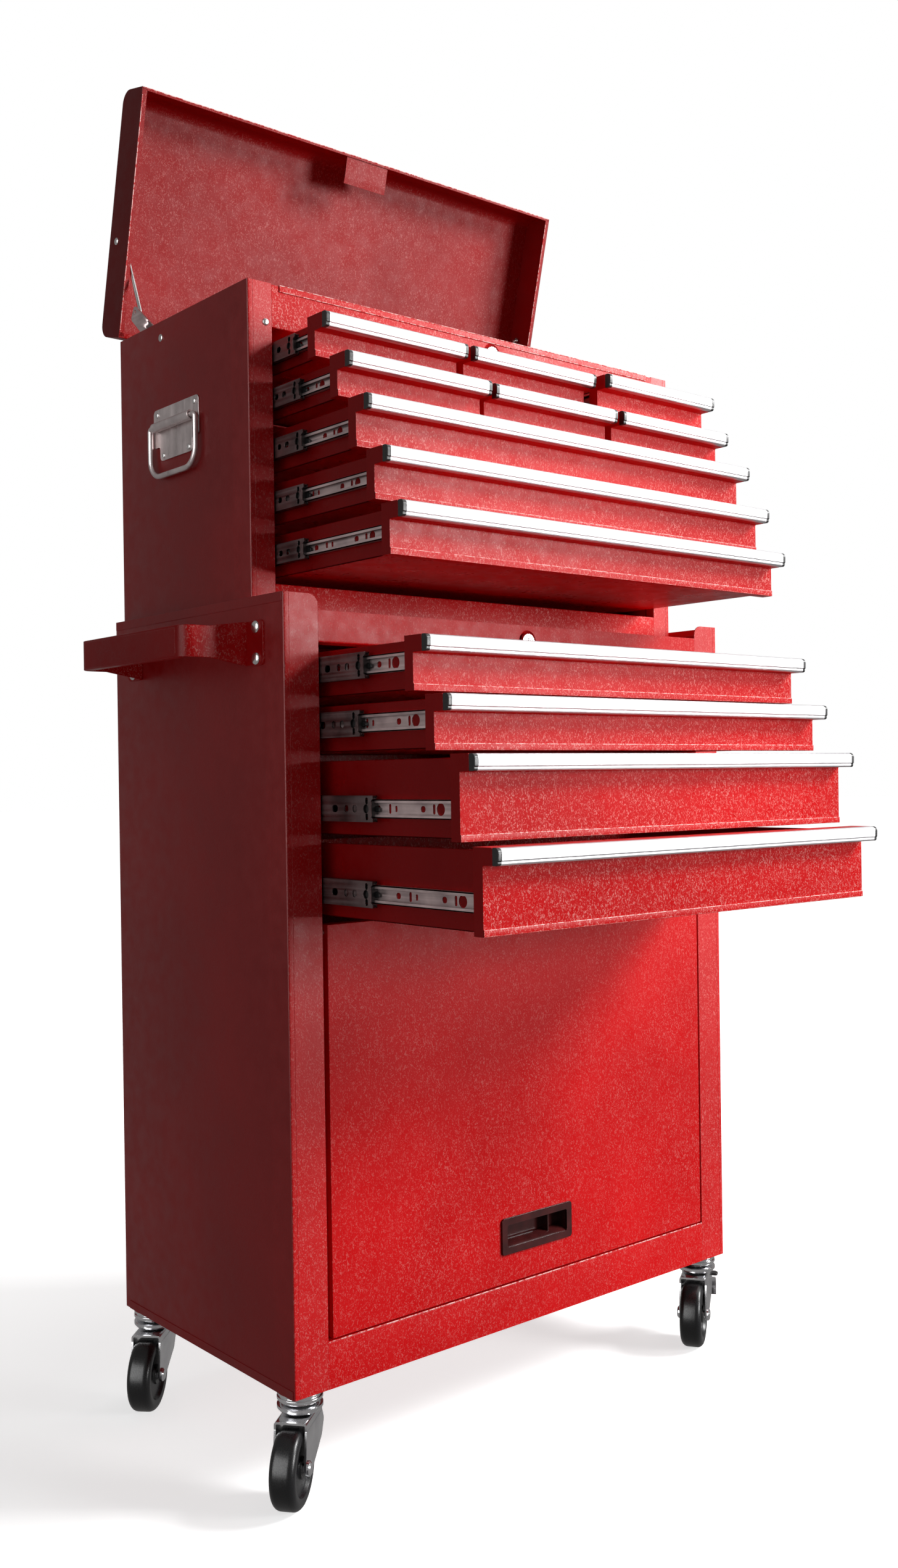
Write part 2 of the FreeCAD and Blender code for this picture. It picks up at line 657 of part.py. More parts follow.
# ==================================================================== handles
def push_handle():
    """A bent strip of steel: two bolted flanges, two tapering arms and a grip."""
    side = -CABINET_WIDTH / 2.0
    outer = side - PUSH_REACH
    front = PUSH_CENTRE_Y - PUSH_ARM_HALF
    back = PUSH_CENTRE_Y + PUSH_ARM_HALF
    sheet = PUSH_SHEET
    corner = 14.0
    z0 = PUSH_FLANGE_BOTTOM
    z1 = PUSH_FLANGE_TOP
    loop = extruded_z(((side, front, 0.0), (outer, front, corner), (outer, back, corner),
                       (side, back, 0.0)), z0, z1)
    room = extruded_z(((side + 1, front + sheet, 0.0), (outer + sheet, front + sheet, corner - sheet),
                       (outer + sheet, back - sheet, corner - sheet),
                       (side + 1, back - sheet, 0.0)), z0 - 1, z1 + 1)
    strip = loop.cut(room)
    # taper the arms from the flanges' height to the grip's
    knee = outer + 30.0
    far = outer - 5.0
    for flange_z, grip_z, beyond in ((z0, PUSH_GRIP_BOTTOM, z0 - 20.0),
                                     (z1, PUSH_GRIP_TOP, z1 + 20.0)):
        wedge = Part.Face(Part.makePolygon([
            Vector(side, 0, flange_z), Vector(knee, 0, grip_z), Vector(far, 0, grip_z),
            Vector(far, 0, beyond), Vector(side, 0, beyond), Vector(side, 0, flange_z),
        ])).extrude(Vector(0, CABINET_DEPTH, 0))
        strip = strip.cut(wedge)
    pieces = [strip]
    flange_x = side - sheet
    pieces.append(box(flange_x, side, front - PUSH_FLANGE + sheet, front + sheet, z0, z1))
    pieces.append(box(flange_x, side, back - sheet, back + PUSH_FLANGE - sheet, z0, z1))
    lip = 9.0
    for low in (PUSH_GRIP_BOTTOM, PUSH_GRIP_TOP - sheet):
        pieces.append(box(outer + 1.0, outer + lip, front + corner, back - corner, low, low + sheet))
    return [fused(pieces)]


def carry_handle_plates():
    """A stepped plate with a rolled barrel on each side of the chest."""
    side = CHEST_WIDTH / 2.0
    wide = BAIL_HALF_WIDTH
    narrow = 33.0
    axis_x = side + BAIL_OFFSET
    barrel_half = BAIL_HALF_WIDTH - 8.0
    plate = fused([
        box(side, side + 1.5, BAIL_CENTRE_Y - wide, BAIL_CENTRE_Y + wide,
            HANDLE_PLATE_STEP, HANDLE_PLATE_TOP),
        box(side, side + 1.5, BAIL_CENTRE_Y - narrow, BAIL_CENTRE_Y + narrow,
            HANDLE_PLATE_BOTTOM, HANDLE_PLATE_STEP),
        rod(BARREL_RADIUS, (axis_x, BAIL_CENTRE_Y - barrel_half, BAIL_AXIS_Z),
            (axis_x, BAIL_CENTRE_Y + barrel_half, BAIL_AXIS_Z)),
    ])
    bore = rod(BAIL_RADIUS + GAP, (axis_x, BAIL_CENTRE_Y - wide - 1, BAIL_AXIS_Z),
               (axis_x, BAIL_CENTRE_Y + wide + 1, BAIL_AXIS_Z))
    plate = plate.cut(bore)
    return [plate, mirrored(plate)]


def bail():
    """The right-hand wire loop: its two ends turn inward into the barrel."""
    x = CHEST_WIDTH / 2.0 + BAIL_OFFSET
    low = BAIL_AXIS_Z - BAIL_DROP
    bend = 12.0
    near = BAIL_CENTRE_Y - BAIL_HALF_WIDTH
    far = BAIL_CENTRE_Y + BAIL_HALF_WIDTH
    r = BAIL_RADIUS
    ring_centres = ((near + bend, low + bend), (far - bend, low + bend))
    pieces = [
        rod(r, (x, near + 18.0, BAIL_AXIS_Z), (x, near, BAIL_AXIS_Z)),
        Part.makeSphere(r, Vector(x, near, BAIL_AXIS_Z)),
        rod(r, (x, near, BAIL_AXIS_Z), (x, near, low + bend)),
        rod(r, (x, near + bend, low), (x, far - bend, low)),
        rod(r, (x, far, low + bend), (x, far, BAIL_AXIS_Z)),
        Part.makeSphere(r, Vector(x, far, BAIL_AXIS_Z)),
        rod(r, (x, far, BAIL_AXIS_Z), (x, far - 18.0, BAIL_AXIS_Z)),
    ]
    for centre_y, centre_z in ring_centres:
        ring = Part.makeTorus(bend, r, Vector(x, centre_y, centre_z), Vector(1, 0, 0))
        reach = bend + 2.0 * r
        side = -1.0 if centre_y < BAIL_CENTRE_Y else 1.0
        y0, y1 = sorted((centre_y, centre_y + side * reach))
        pieces.append(ring.common(box(x - r, x + r, y0, y1, centre_z - reach, centre_z)))
    return fused(pieces)


# ==================================================================== casters
def faced(shapes, x, y, heading):
    """Turn shapes drawn rolling along +x to their heading, and place them."""
    for shape in shapes:
        shape.rotate(Vector(0, 0, 0), Vector(0, 0, 1), 90.0 - heading)
        shape.translate(Vector(x, y, 0))
    return shapes


def caster_stems():
    """The fixed stem and upper bearing cup of each caster."""
    stems = []
    for name, x, y, heading, braked in CASTERS:
        cup = rod(RACEWAY_RADIUS, (0, 0, -10.0), (0, 0, 0))
        cup = cup.makeFillet(3.0, [edge for edge in cup.Edges if edge.Curve.TypeId == "Part::GeomCircle"
                                   and edge.BoundBox.ZMax < -9.0])
        stem = rod(STEM_RADIUS, (0, 0, -24.0), (0, 0, 24.0))
        head = rod(9.0, (0, 0, -24.0), (0, 0, CROWN_BOTTOM - GAP))
        stems += faced([fused([cup, stem, head])], x, y, heading)
    return stems


def caster_fork(heading, x, y):
    """Crown, two legs and the axle, drawn with the wheel behind the swivel axis."""
    axle_z = WHEEL_RADIUS - CASTER_HEIGHT
    crown = fused([
        rod(RACEWAY_RADIUS, (0, 0, CROWN_BOTTOM + 2.0), (0, 0, CROWN_TOP)),
        box(-32, 19, -LEG_INNER - LEG_SHEET, LEG_INNER + LEG_SHEET, CROWN_BOTTOM, CROWN_BOTTOM + 2.0),
    ]).cut(rod(STEM_RADIUS + GAP, (0, 0, -30), (0, 0, 0)))
    outline = ((-32, CROWN_BOTTOM, 0.0), (19, CROWN_BOTTOM, 0.0), (26, -38, 5.0), (18, -52, 8.0),
               (-20, axle_z - 9.0, 8.0), (-38, axle_z - 6.0, 8.0))
    wire = rounded_wire([(Vector(u, 0, z), radius) for u, z, radius in outline])
    plate = Part.Face(wire).extrude(Vector(0, LEG_SHEET, 0))
    legs = [plate.translated(Vector(0, LEG_INNER, 0)),
            plate.translated(Vector(0, -LEG_INNER - LEG_SHEET, 0))]
    outside = LEG_INNER + LEG_SHEET
    axle = rod(AXLE_RADIUS, (-TRAIL, -outside, axle_z), (-TRAIL, outside, axle_z))
    heads = [rod(7.0, (-TRAIL, outside, axle_z), (-TRAIL, outside + 3.0, axle_z)),
             rod(7.0, (-TRAIL, -outside, axle_z), (-TRAIL, -outside - 3.0, axle_z))]
    return faced([fused([crown, axle] + legs + heads)], x, y, heading)


def caster_wheel(heading, x, y):
    axle_z = WHEEL_RADIUS - CASTER_HEIGHT
    half = WHEEL_WIDTH / 2.0
    tyre = rod(WHEEL_RADIUS, (-TRAIL, -half, axle_z), (-TRAIL, half, axle_z))
    rims = [edge for edge in tyre.Edges if edge.Curve.TypeId == "Part::GeomCircle"]
    tyre = tyre.makeFillet(TREAD_ROUND, rims)
    bore = rod(AXLE_RADIUS + 0.15, (-TRAIL, -half - 1, axle_z), (-TRAIL, half + 1, axle_z))
    return faced([tyre.cut(bore)], x, y, heading)


def brake_pedal(heading, x, y):
    """A two-armed rocker on its own pin between the fork's legs."""
    pivot_u, pivot_z = BRAKE_PIVOT
    clear = LEG_INNER - GAP
    hub = rod(5.0, (pivot_u, -clear, pivot_z), (pivot_u, clear, pivot_z))
    upper = box(pivot_u + 7.5, pivot_u + 20.0, -22, 22, pivot_z + 5.0, pivot_z + 7.5)
    lower = box(pivot_u + 7.5, pivot_u + 10.0, -22, 22, pivot_z - 16.0, pivot_z + 5.5)
    neck = box(pivot_u, pivot_u + 10.0, -clear, clear, pivot_z - 2.0, pivot_z + 2.0)
    return faced([fused([hub, neck, lower, upper])], x, y, heading)


# ================================================================== fasteners
def fasteners():
    """Rivets and bolts that stay with the cabinet and the chest."""
    heads = []
    cabinet_side = CABINET_WIDTH / 2.0
    chest_side = CHEST_WIDTH / 2.0
    push_x = -cabinet_side - PUSH_SHEET
    bolt_low = PUSH_FLANGE_BOTTOM + 6.5
    bolt_high = PUSH_FLANGE_TOP - 6.5
    bolt_reach = PUSH_ARM_HALF + PUSH_BOLT_INSET
    for y in (PUSH_CENTRE_Y - bolt_reach, PUSH_CENTRE_Y + bolt_reach):
        for z in (bolt_low, bolt_high):
            heads.append(dome((push_x, y, z), (-1, 0, 0), 6.0, 3.0))
    plate_x = chest_side + 1.5
    for side in (-1, 1):
        for y in (BAIL_CENTRE_Y - 38.0, BAIL_CENTRE_Y + 38.0):
            heads.append(dome((side * plate_x, y, HANDLE_PLATE_TOP - 6.0), (side, 0, 0), 3.0, 1.5))
        for y in (BAIL_CENTRE_Y - 26.0, BAIL_CENTRE_Y + 26.0):
            heads.append(dome((side * plate_x, y, HANDLE_PLATE_BOTTOM + 5.0), (side, 0, 0), 3.0, 1.5))
        body_y, body_z = STAY_BODY_PIVOT
        heads.append(dome((side * chest_side, body_y, body_z), (side, 0, 0), 4.0, 1.6))
        heads.append(dome((side * (CHEST_OPENING + 7.0), CHEST_FRONT, CHEST_OPENING_TOP + 4.0),
                          (0, -1, 0), 3.5, 1.5))
    return heads + [stay_pin(), mirrored(stay_pin())]


# ======================================================================= main
def all_nodes():
    """Every sub-part by name, each as a list of solids in the cabinet frame."""
    nodes = {
        "cabinet_shell": cabinet_shell(),
        "cabinet_front_rails": cabinet_front_rails(),
        "cabinet_deck": cabinet_deck(),
        "cabinet_floor": cabinet_floor(),
        "chest_shell": chest_shell(),
        "chest_front_rails": chest_front_rails(),
        "chest_inner_panels": chest_inner_panels(),
        "slide_posts": slide_posts(),
        "slide_outer_members": slide_outer_members(),
        "push_handle": push_handle(),
        "carry_handle_plates": carry_handle_plates(),
        "caster_stems": caster_stems(),
        "fasteners": fasteners(),
        "lid_hinge_leaf": lid_hinge_leaf(),
        "lid": lid(),
        "lid_fittings": lid_fittings(),
        "lid_stay_rods": stay_rods(),
        "lid_stay_links": stay_links(),
        "door": door(),
        "door_pull": door_pull(),
        "cabinet_lock": lock_cylinder(CABINET_LOCK, 22.0, 15.0),
        "chest_lock": lock_cylinder(CHEST_LOCK, 12.0, 20.0),
        "bail_right": [bail()],
        "bail_left": [mirrored(bail())],
    }
    for name, bay, x, underside, height, extension, middle in DRAWERS:
        nodes[name] = drawer(bay, x, underside, height, extension)
        nodes[name + "_slides"] = placed(slide_members(bay, underside, 1), x, -middle)
    for name, x, y, heading, braked in CASTERS:
        nodes["caster_fork_" + name] = caster_fork(heading, x, y)
        nodes["caster_wheel_" + name] = caster_wheel(heading, x, y)
        if braked:
            nodes["caster_brake_" + name] = brake_pedal(heading, x, y)
    return nodes


def origin_of(nodes):
    """Centre of the whole object's footprint, at floor level."""
    everything = Part.makeCompound([solid for solids in nodes.values() for solid in solids])
    bounds = everything.optimalBoundingBox(False, False)
    return Vector((bounds.XMin + bounds.XMax) / 2.0, (bounds.YMin + bounds.YMax) / 2.0, -CASTER_HEIGHT)


def main():
    os.makedirs("parts", exist_ok=True)
    nodes = all_nodes()
    origin = origin_of(nodes)
    for name, solids in nodes.items():
        shape = solids[0] if len(solids) == 1 else Part.makeCompound(solids)
        shape.translate(-origin)
        shape.exportStep("parts/" + name + ".step")
    print("origin in the cabinet frame", origin)
    print(len(nodes), "nodes")


if __name__ == "__main__":
    main()
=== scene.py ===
import json
import math

import bmesh
import bpy
from mathutils import Matrix, Vector


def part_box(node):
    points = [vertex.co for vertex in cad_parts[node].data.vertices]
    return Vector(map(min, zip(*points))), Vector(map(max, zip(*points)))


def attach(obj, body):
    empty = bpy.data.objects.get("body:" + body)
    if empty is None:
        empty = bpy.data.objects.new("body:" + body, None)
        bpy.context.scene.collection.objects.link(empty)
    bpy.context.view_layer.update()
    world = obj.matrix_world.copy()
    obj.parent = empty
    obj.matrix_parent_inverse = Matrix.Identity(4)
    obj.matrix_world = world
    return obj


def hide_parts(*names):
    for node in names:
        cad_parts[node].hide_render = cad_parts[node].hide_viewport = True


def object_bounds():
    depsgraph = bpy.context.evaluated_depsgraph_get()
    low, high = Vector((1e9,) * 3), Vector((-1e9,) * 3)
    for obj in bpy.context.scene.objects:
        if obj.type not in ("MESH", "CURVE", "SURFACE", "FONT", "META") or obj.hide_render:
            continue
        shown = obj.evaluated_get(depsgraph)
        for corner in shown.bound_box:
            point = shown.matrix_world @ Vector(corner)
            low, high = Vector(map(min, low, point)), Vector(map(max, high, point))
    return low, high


# Looks of the rolling tool chest.  Shapes are drawn in the cabinet's frame, in
# millimetres: x to the right, y to the back from the cabinet's front face, z up
# from its underside.  Shape.piece() moves them to the row frame, in metres.

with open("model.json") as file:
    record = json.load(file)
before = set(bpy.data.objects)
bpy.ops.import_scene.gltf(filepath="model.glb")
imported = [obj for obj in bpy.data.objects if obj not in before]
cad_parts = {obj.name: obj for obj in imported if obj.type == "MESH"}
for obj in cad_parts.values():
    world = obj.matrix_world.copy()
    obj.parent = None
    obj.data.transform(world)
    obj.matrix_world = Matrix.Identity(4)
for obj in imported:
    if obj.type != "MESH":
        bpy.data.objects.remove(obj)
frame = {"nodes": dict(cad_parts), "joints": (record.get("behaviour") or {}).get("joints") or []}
cad_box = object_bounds()

MM = 0.001
shell_low, shell_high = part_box("cabinet_shell")
ORIGIN = Vector(((shell_low.x + shell_high.x) / 2.0, shell_low.y, shell_low.z))
TO_ROW = Matrix.Translation(ORIGIN) @ Matrix.Scale(MM, 4)
JOINTS = {joint["name"]: joint for joint in frame["joints"]}


def cab(point):
    """A row-frame point in the cabinet's frame."""
    return (Vector(point) - ORIGIN) / MM


def cab_box(node):
    low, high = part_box(node)
    return cab(low), cab(high)


def joint_at(name):
    """A joint's place in the cabinet's frame."""
    return cab(JOINTS[name]["pos_m"])


CABINET_LOW, CABINET_HIGH = cab_box("cabinet_shell")
CHEST_LOW, CHEST_HIGH = cab_box("chest_shell")
CABINET_OPENING = cab_box("cabinet_front_rails")[1].x
CHEST_OPENING = cab_box("chest_front_rails")[1].x
SHEET = 1.2
TRAY_SHEET = 1.0
NOSE_DEPTH = 12.0
NOSE_HEIGHT = 15.0
FRONT_DEPTH = 12.0
PULL_DEPTH = 8.0
CAP_WIDTH = 4.0
SLIDE_SPACE = 12.7
SLIDE_START = 14.5


# ---- outlines
def arc(a, b, radius, start, end, steps=8):
    """Points of an arc about (a, b), between two angles in degrees."""
    points = []
    for index in range(steps + 1):
        angle = math.radians(start + (end - start) * index / steps)
        points.append((a + radius * math.cos(angle), b + radius * math.sin(angle)))
    return points


def circle(a, b, radius, sides=24):
    return arc(a, b, radius, 0.0, 360.0 * (sides - 1) / sides, sides - 1)


def slot_outline(a, b, length, height):
    """A slot or a rounded window centred on (a, b)."""
    return rectangle(a - length / 2, a + length / 2, b - height / 2, b + height / 2,
                     min(length, height) * 0.45)


def rectangle(a0, a1, b0, b1, radius):
    """A rectangle with all its corners rounded."""
    return rounded([(a0, b0, radius), (a1, b0, radius), (a1, b1, radius), (a0, b1, radius)])


def round_corner(before, here, after, radius, steps):
    """Points that round one corner of a path, in two or three dimensions."""
    to_last = (before - here).normalized()
    to_next = (after - here).normalized()
    half = to_last.angle(to_next) / 2.0
    cut = radius / math.tan(half)
    centre = here + (to_last + to_next).normalized() * (radius / math.sin(half))
    start = here + to_last * cut - centre
    end = here + to_next * cut - centre
    sweep = start.angle(end)
    points = []
    for index in range(steps + 1):
        t = index / steps
        blend = (start * math.sin((1 - t) * sweep) + end * math.sin(t * sweep)) / math.sin(sweep)
        points.append(centre + blend)
    return points


def rounded(corners, closed=True, steps=5):
    """(a, b, radius) corners with their arcs, as a list of (a, b) points."""
    places = [Vector((a, b, 0.0)) for a, b, radius in corners]
    count = len(corners)
    points = []
    for index, (a, b, radius) in enumerate(corners):
        at_end = not closed and index in (0, count - 1)
        if radius == 0.0 or at_end:
            points.append((a, b))
            continue
        turned = round_corner(places[index - 1], places[index], places[(index + 1) % count],
                              radius, steps)
        points += [(point.x, point.y) for point in turned]
    return points


def rounded_wire(corners, radius, steps=6):
    """A route through 3-D corners, with every bend of one radius."""
    places = [Vector(corner) for corner in corners]
    points = [places[0]]
    for index in range(1, len(places) - 1):
        points += round_corner(places[index - 1], places[index], places[index + 1], radius, steps)
    return points + [places[-1]]


def strip_outline(path, thickness):
    """The outline of a sheet whose outer face is the path and which lies to its left."""
    inner = []
    for index, (a, b) in enumerate(path):
        before = Vector(path[max(index - 1, 0)])
        after = Vector(path[min(index + 1, len(path) - 1)])
        here = Vector((a, b))
        last = (here - before).normalized() if index > 0 else (after - here).normalized()
        following = (after - here).normalized() if index < len(path) - 1 else last
        mean = (last + following).normalized()
        widen = 1.0 / max(mean.dot(last), 0.5)
        inner.append((a - mean.y * thickness * widen, b + mean.x * thickness * widen))
    return list(path) + inner[::-1]


# Where an outline's (a, b) and its depth c lie in x, y, z, for each axis of depth.
PLACE = {
    "x": lambda a, b, c: Vector((c, a, b)),
    "y": lambda a, b, c: Vector((a, c, b)),
    "z": lambda a, b, c: Vector((a, b, c)),
}


# ---- shapes
class Shape:
    """Solids gathered in the cabinet's frame, which become one Blender piece."""

    def __init__(self):
        self.mesh = bmesh.new()

    def prism(self, outline, axis, start, end, slot=0):
        """Extrude a closed outline along an axis."""
        place = PLACE[axis]
        low = [self.mesh.verts.new(place(a, b, start)) for a, b in outline]
        high = [self.mesh.verts.new(place(a, b, end)) for a, b in outline]
        faces = [self.mesh.faces.new(low[::-1]), self.mesh.faces.new(high)]
        count = len(outline)
        for index in range(count):
            other = (index + 1) % count
            faces.append(self.mesh.faces.new((low[index], low[other], high[other], high[index])))
        for face in faces:
            face.material_index = slot
        return low + high

    def box(self, x0, x1, y0, y1, z0, z1, slot=0):
        return self.prism([(x0, y0), (x1, y0), (x1, y1), (x0, y1)], "z", z0, z1, slot)

    def sheet(self, corners, thickness, axis, start, end, slot=0):
        """A bent sheet: (a, b, bend radius) corners of its outer face."""
        path = rounded(corners, closed=False, steps=4)
        return self.prism(strip_outline(path, thickness), axis, start, end, slot)

    def plate(self, outline, holes, axis, start, end, slot=0):
        """A flat plate with holes through it."""
        start, end = sorted((start, end))
        curve = bpy.data.curves.new("plate", "CURVE")
        curve.dimensions = "2D"
        curve.fill_mode = "BOTH"
        curve.extrude = (end - start) / 2.0
        for loop in [outline] + holes:
            spline = curve.splines.new("POLY")
            spline.points.add(len(loop) - 1)
            for point, (a, b) in zip(spline.points, loop):
                point.co = (a, b, 0.0, 1.0)
            spline.use_cyclic_u = True
        holder = bpy.data.objects.new("plate", curve)
        flat = bpy.data.meshes.new_from_object(holder)
        solid = bmesh.new()
        solid.from_mesh(flat)
        middle = (start + end) / 2.0
        for vertex in solid.verts:
            vertex.co = PLACE[axis](vertex.co.x, vertex.co.y, middle + vertex.co.z)
        for face in solid.faces:
            face.material_index = slot
        bmesh.ops.remove_doubles(solid, verts=solid.verts, dist=0.001)
        solid.to_mesh(flat)
        solid.free()
        self.mesh.from_mesh(flat)
        bpy.data.objects.remove(holder)
        bpy.data.curves.remove(curve)
        bpy.data.meshes.remove(flat)

    def ring(self, middle, across, third, sides):
        """Vertices on a circle, given two of its radii at right angles."""
        angles = [2.0 * math.pi * index / sides for index in range(sides)]
        return [self.mesh.verts.new(middle + across * math.cos(angle) + third * math.sin(angle))
                for angle in angles]

    def lathe(self, profile, centre, axis, sides=48, slot=0):
        """Turn a (radius, distance along the axis) profile about an axis."""
        centre = Vector(centre)
        along = Vector(axis).normalized()
        across = along.orthogonal().normalized()
        third = along.cross(across)
        rings = []
        for radius, distance in profile:
            middle = centre + along * distance
            if radius < 1e-6:
                rings.append([self.mesh.verts.new(middle)])
            else:
                rings.append(self.ring(middle, across * radius, third * radius, sides))
        if len(rings[0]) > 1:
            rings.append(rings[0])
        self.skin(rings, sides, slot)

    def skin(self, rings, sides, slot):
        """Faces between each ring and the next; a ring of one vertex is a pole."""
        for first, second in zip(rings, rings[1:]):
            for side in range(sides):
                other = (side + 1) % sides
                corners = [first[side % len(first)], first[other % len(first)],
                           second[other % len(second)], second[side % len(second)]]
                unique = list(dict.fromkeys(corners))
                if len(unique) > 2:
                    self.mesh.faces.new(unique).material_index = slot

    def tube(self, path, radius, sides=14, slot=0):
        """A round wire along a route, with rounded ends."""
        points = [Vector(point) for point in path]
        normal = (points[1] - points[0]).orthogonal().normalized()
        rings = []
        for index, point in enumerate(points):
            before = points[max(index - 1, 0)]
            after = points[min(index + 1, len(points) - 1)]
            along = (after - before).normalized()
            normal = (normal - along * normal.dot(along)).normalized()
            rings.append(self.ring(point, normal * radius, along.cross(normal) * radius, sides))
        self.skin(rings, sides, slot)
        for ring in (rings[0][::-1], rings[-1]):
            self.mesh.faces.new(ring).material_index = slot

    def bead(self, start, end, radius=0.55):
        """A rolled edge with a painted highlight of light caught along it, in the piece's second
        material.
        """
        self.tube([start, end], radius, 8, slot=1)

    def dome(self, base, outward, radius, height, slot=0):
        """A rivet or bolt head with a flat rim."""
        profile = [(0.0, height)]
        for index in range(1, 7):
            angle = math.pi / 2.0 * index / 6.0
            profile.append((radius * math.sin(angle), height * (0.15 + 0.85 * math.cos(angle))))
        profile += [(radius, 0.0), (0.0, 0.0)]
        self.lathe(profile, base, outward, 28, slot)

    def mirror(self):
        """Add the same solids on the other side of the plane x = 0."""
        copied = bmesh.ops.duplicate(self.mesh, geom=self.mesh.verts[:] + self.mesh.edges[:]
                                     + self.mesh.faces[:])["geom"]
        for part in copied:
            if isinstance(part, bmesh.types.BMVert):
                part.co.x = -part.co.x
        flipped = [part for part in copied if isinstance(part, bmesh.types.BMFace)]
        bmesh.ops.reverse_faces(self.mesh, faces=flipped)

    def transform(self, matrix):
        self.mesh.transform(matrix)

    def piece(self, name, body, materials, slot, replaces=(), edge=0.35):
        """Make the Blender object, ride it on its body and round its edges."""
        bmesh.ops.recalc_face_normals(self.mesh, faces=self.mesh.faces)
        self.mesh.transform(TO_ROW)
        data = bpy.data.meshes.new(name)
        self.mesh.to_mesh(data)
        self.mesh.free()
        for material in materials:
            data.materials.append(material)
        for polygon in data.polygons:
            polygon.use_smooth = True
        data.set_sharp_from_angle(angle=math.radians(38.0))
        item = bpy.data.objects.new(name, data)
        bpy.context.scene.collection.objects.link(item)
        if edge > 0.0:
            round_edges(item, edge, 2)
        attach(item, body)
        if replaces:
            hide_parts(*replaces)
        return item


def round_edges(item, width, segments):
    """A small bevel on every sharp edge."""
    bevel = item.modifiers.new("rounded_edges", "BEVEL")
    bevel.width = width * MM
    bevel.segments = segments
    bevel.limit_method = "ANGLE"
    bevel.angle_limit = math.radians(40.0)
    bevel.harden_normals = True


# ---- materials
def feed(item, inputs):
    """Set a node's inputs, or link those whose value is another node's output."""
    for name, value in dict(inputs).items():
        if isinstance(value, bpy.types.NodeSocket):
            item.id_data.links.new(value, item.inputs[name])
        else:
            item.inputs[name].default_value = value


def add(tree, kind, inputs=(), **settings):
    """A shader node with its settings and inputs."""
    item = tree.nodes.new(kind)
    for name, value in settings.items():
        setattr(item, name, value)
    feed(item, inputs)
    return item


def principled(name, roughness, metallic):
    material = bpy.data.materials.new(name)
    material.use_nodes = True
    tree = material.node_tree
    shader = tree.nodes["Principled BSDF"]
    feed(shader, {"Roughness": roughness, "Metallic": metallic})
    return material, tree, shader


def stretched(tree, scale=(1.0, 1.0, 1.0)):
    """Object coordinates, scaled differently along each axis."""
    coordinates = add(tree, "ShaderNodeTexCoord")
    mapped = add(tree, "ShaderNodeMapping", {"Vector": coordinates.outputs["Object"], "Scale": scale})
    return mapped.outputs[0]


def noise(tree, vector, scale, detail=2.0, distortion=0.0):
    item = add(tree, "ShaderNodeTexNoise", {"Vector": vector, "Scale": scale, "Detail": detail,
                                            "Distortion": distortion})
    return item.outputs["Fac"]


def remap(tree, value, low, high, to_low=0.0, to_high=1.0):
    item = add(tree, "ShaderNodeMapRange", {"Value": value, "From Min": low, "From Max": high,
                                            "To Min": to_low, "To Max": to_high})
    return item.outputs["Result"]


def multiply(tree, first, second):
    return add(tree, "ShaderNodeMath", {0: first, 1: second}, operation="MULTIPLY").outputs[0]


def mix(tree, factor, first, second):
    colours = {0: factor, 6: first, 7: second}
    return add(tree, "ShaderNodeMix", colours, data_type="RGBA").outputs[2]


def relief(tree, strength, distance, height):
    """A bump from a height pattern, for a shader's normal."""
    bump = add(tree, "ShaderNodeBump", {"Strength": strength, "Distance": distance, "Height": height})
    return bump.outputs["Normal"]


def paint(name, glints, gloss, shine, edge_glint=0.0, shade_scale=1.0):
    """Textured red powder coat with a wrinkled skin. Bright specks on its front-facing faces are painted
    glints standing in for lamp highlights; a painted edge highlight is added where asked, and the colour
    is darkened as painted shade where asked.
    """
    material, tree, shader = principled(name, gloss, 0.0)
    plain = stretched(tree)
    wiggly = stretched(tree, (1.0, 1.0, 0.62))
    broad = remap(tree, noise(tree, plain, 5.0, 3.0), 0.35, 0.65)
    # Base colour, scaled down below one where painted shade is asked for.
    body = mix(tree, broad, (0.54 * shade_scale, 0.0035 * shade_scale, 0.005 * shade_scale, 1.0),
               (0.68 * shade_scale, 0.006 * shade_scale, 0.008 * shade_scale, 1.0))
    skin = noise(tree, wiggly, 560.0, 1.5, 1.6)
    speckle = remap(tree, skin, 0.56, 0.63)
    patches = remap(tree, noise(tree, plain, 14.0, 2.0), 0.35, 0.68, 0.6, 1.0)
    # Painted glints: pale pink specks, only on faces that look to the front, stand in for highlights of
    # the lamps in front.
    facing = add(tree, "ShaderNodeTexCoord").outputs["Normal"]
    forward = add(tree, "ShaderNodeSeparateXYZ", {"Vector": facing}).outputs["Y"]
    front = remap(tree, forward, -0.35, -0.85)
    glint_mask = multiply(tree, multiply(tree, speckle, patches), multiply(tree, front, glints))
    glinted = mix(tree, glint_mask, body, (1.0, 0.50, 0.46, 1.0))
    # Painted edge highlight: broken pale dashes stand in for light caught along rolled edges and hems.
    glint_dashes = remap(tree, noise(tree, plain, 210.0, 2.0, 0.8), 0.44, 0.56, 0.0, edge_glint)
    with_edge_glint = mix(tree, glint_dashes, glinted, (0.95, 0.62, 0.58, 1.0))
    uneven = remap(tree, noise(tree, plain, 60.0, 2.0), 0.3, 0.7, gloss - 0.07, gloss + 0.09)
    feed(shader, {"Base Color": with_edge_glint, "Roughness": uneven, "Specular IOR Level": shine,
                  "Coat Weight": shine / 6.0, "Coat Roughness": 0.22,
                  "Normal": relief(tree, 0.5, 0.00022, skin)})
    return material


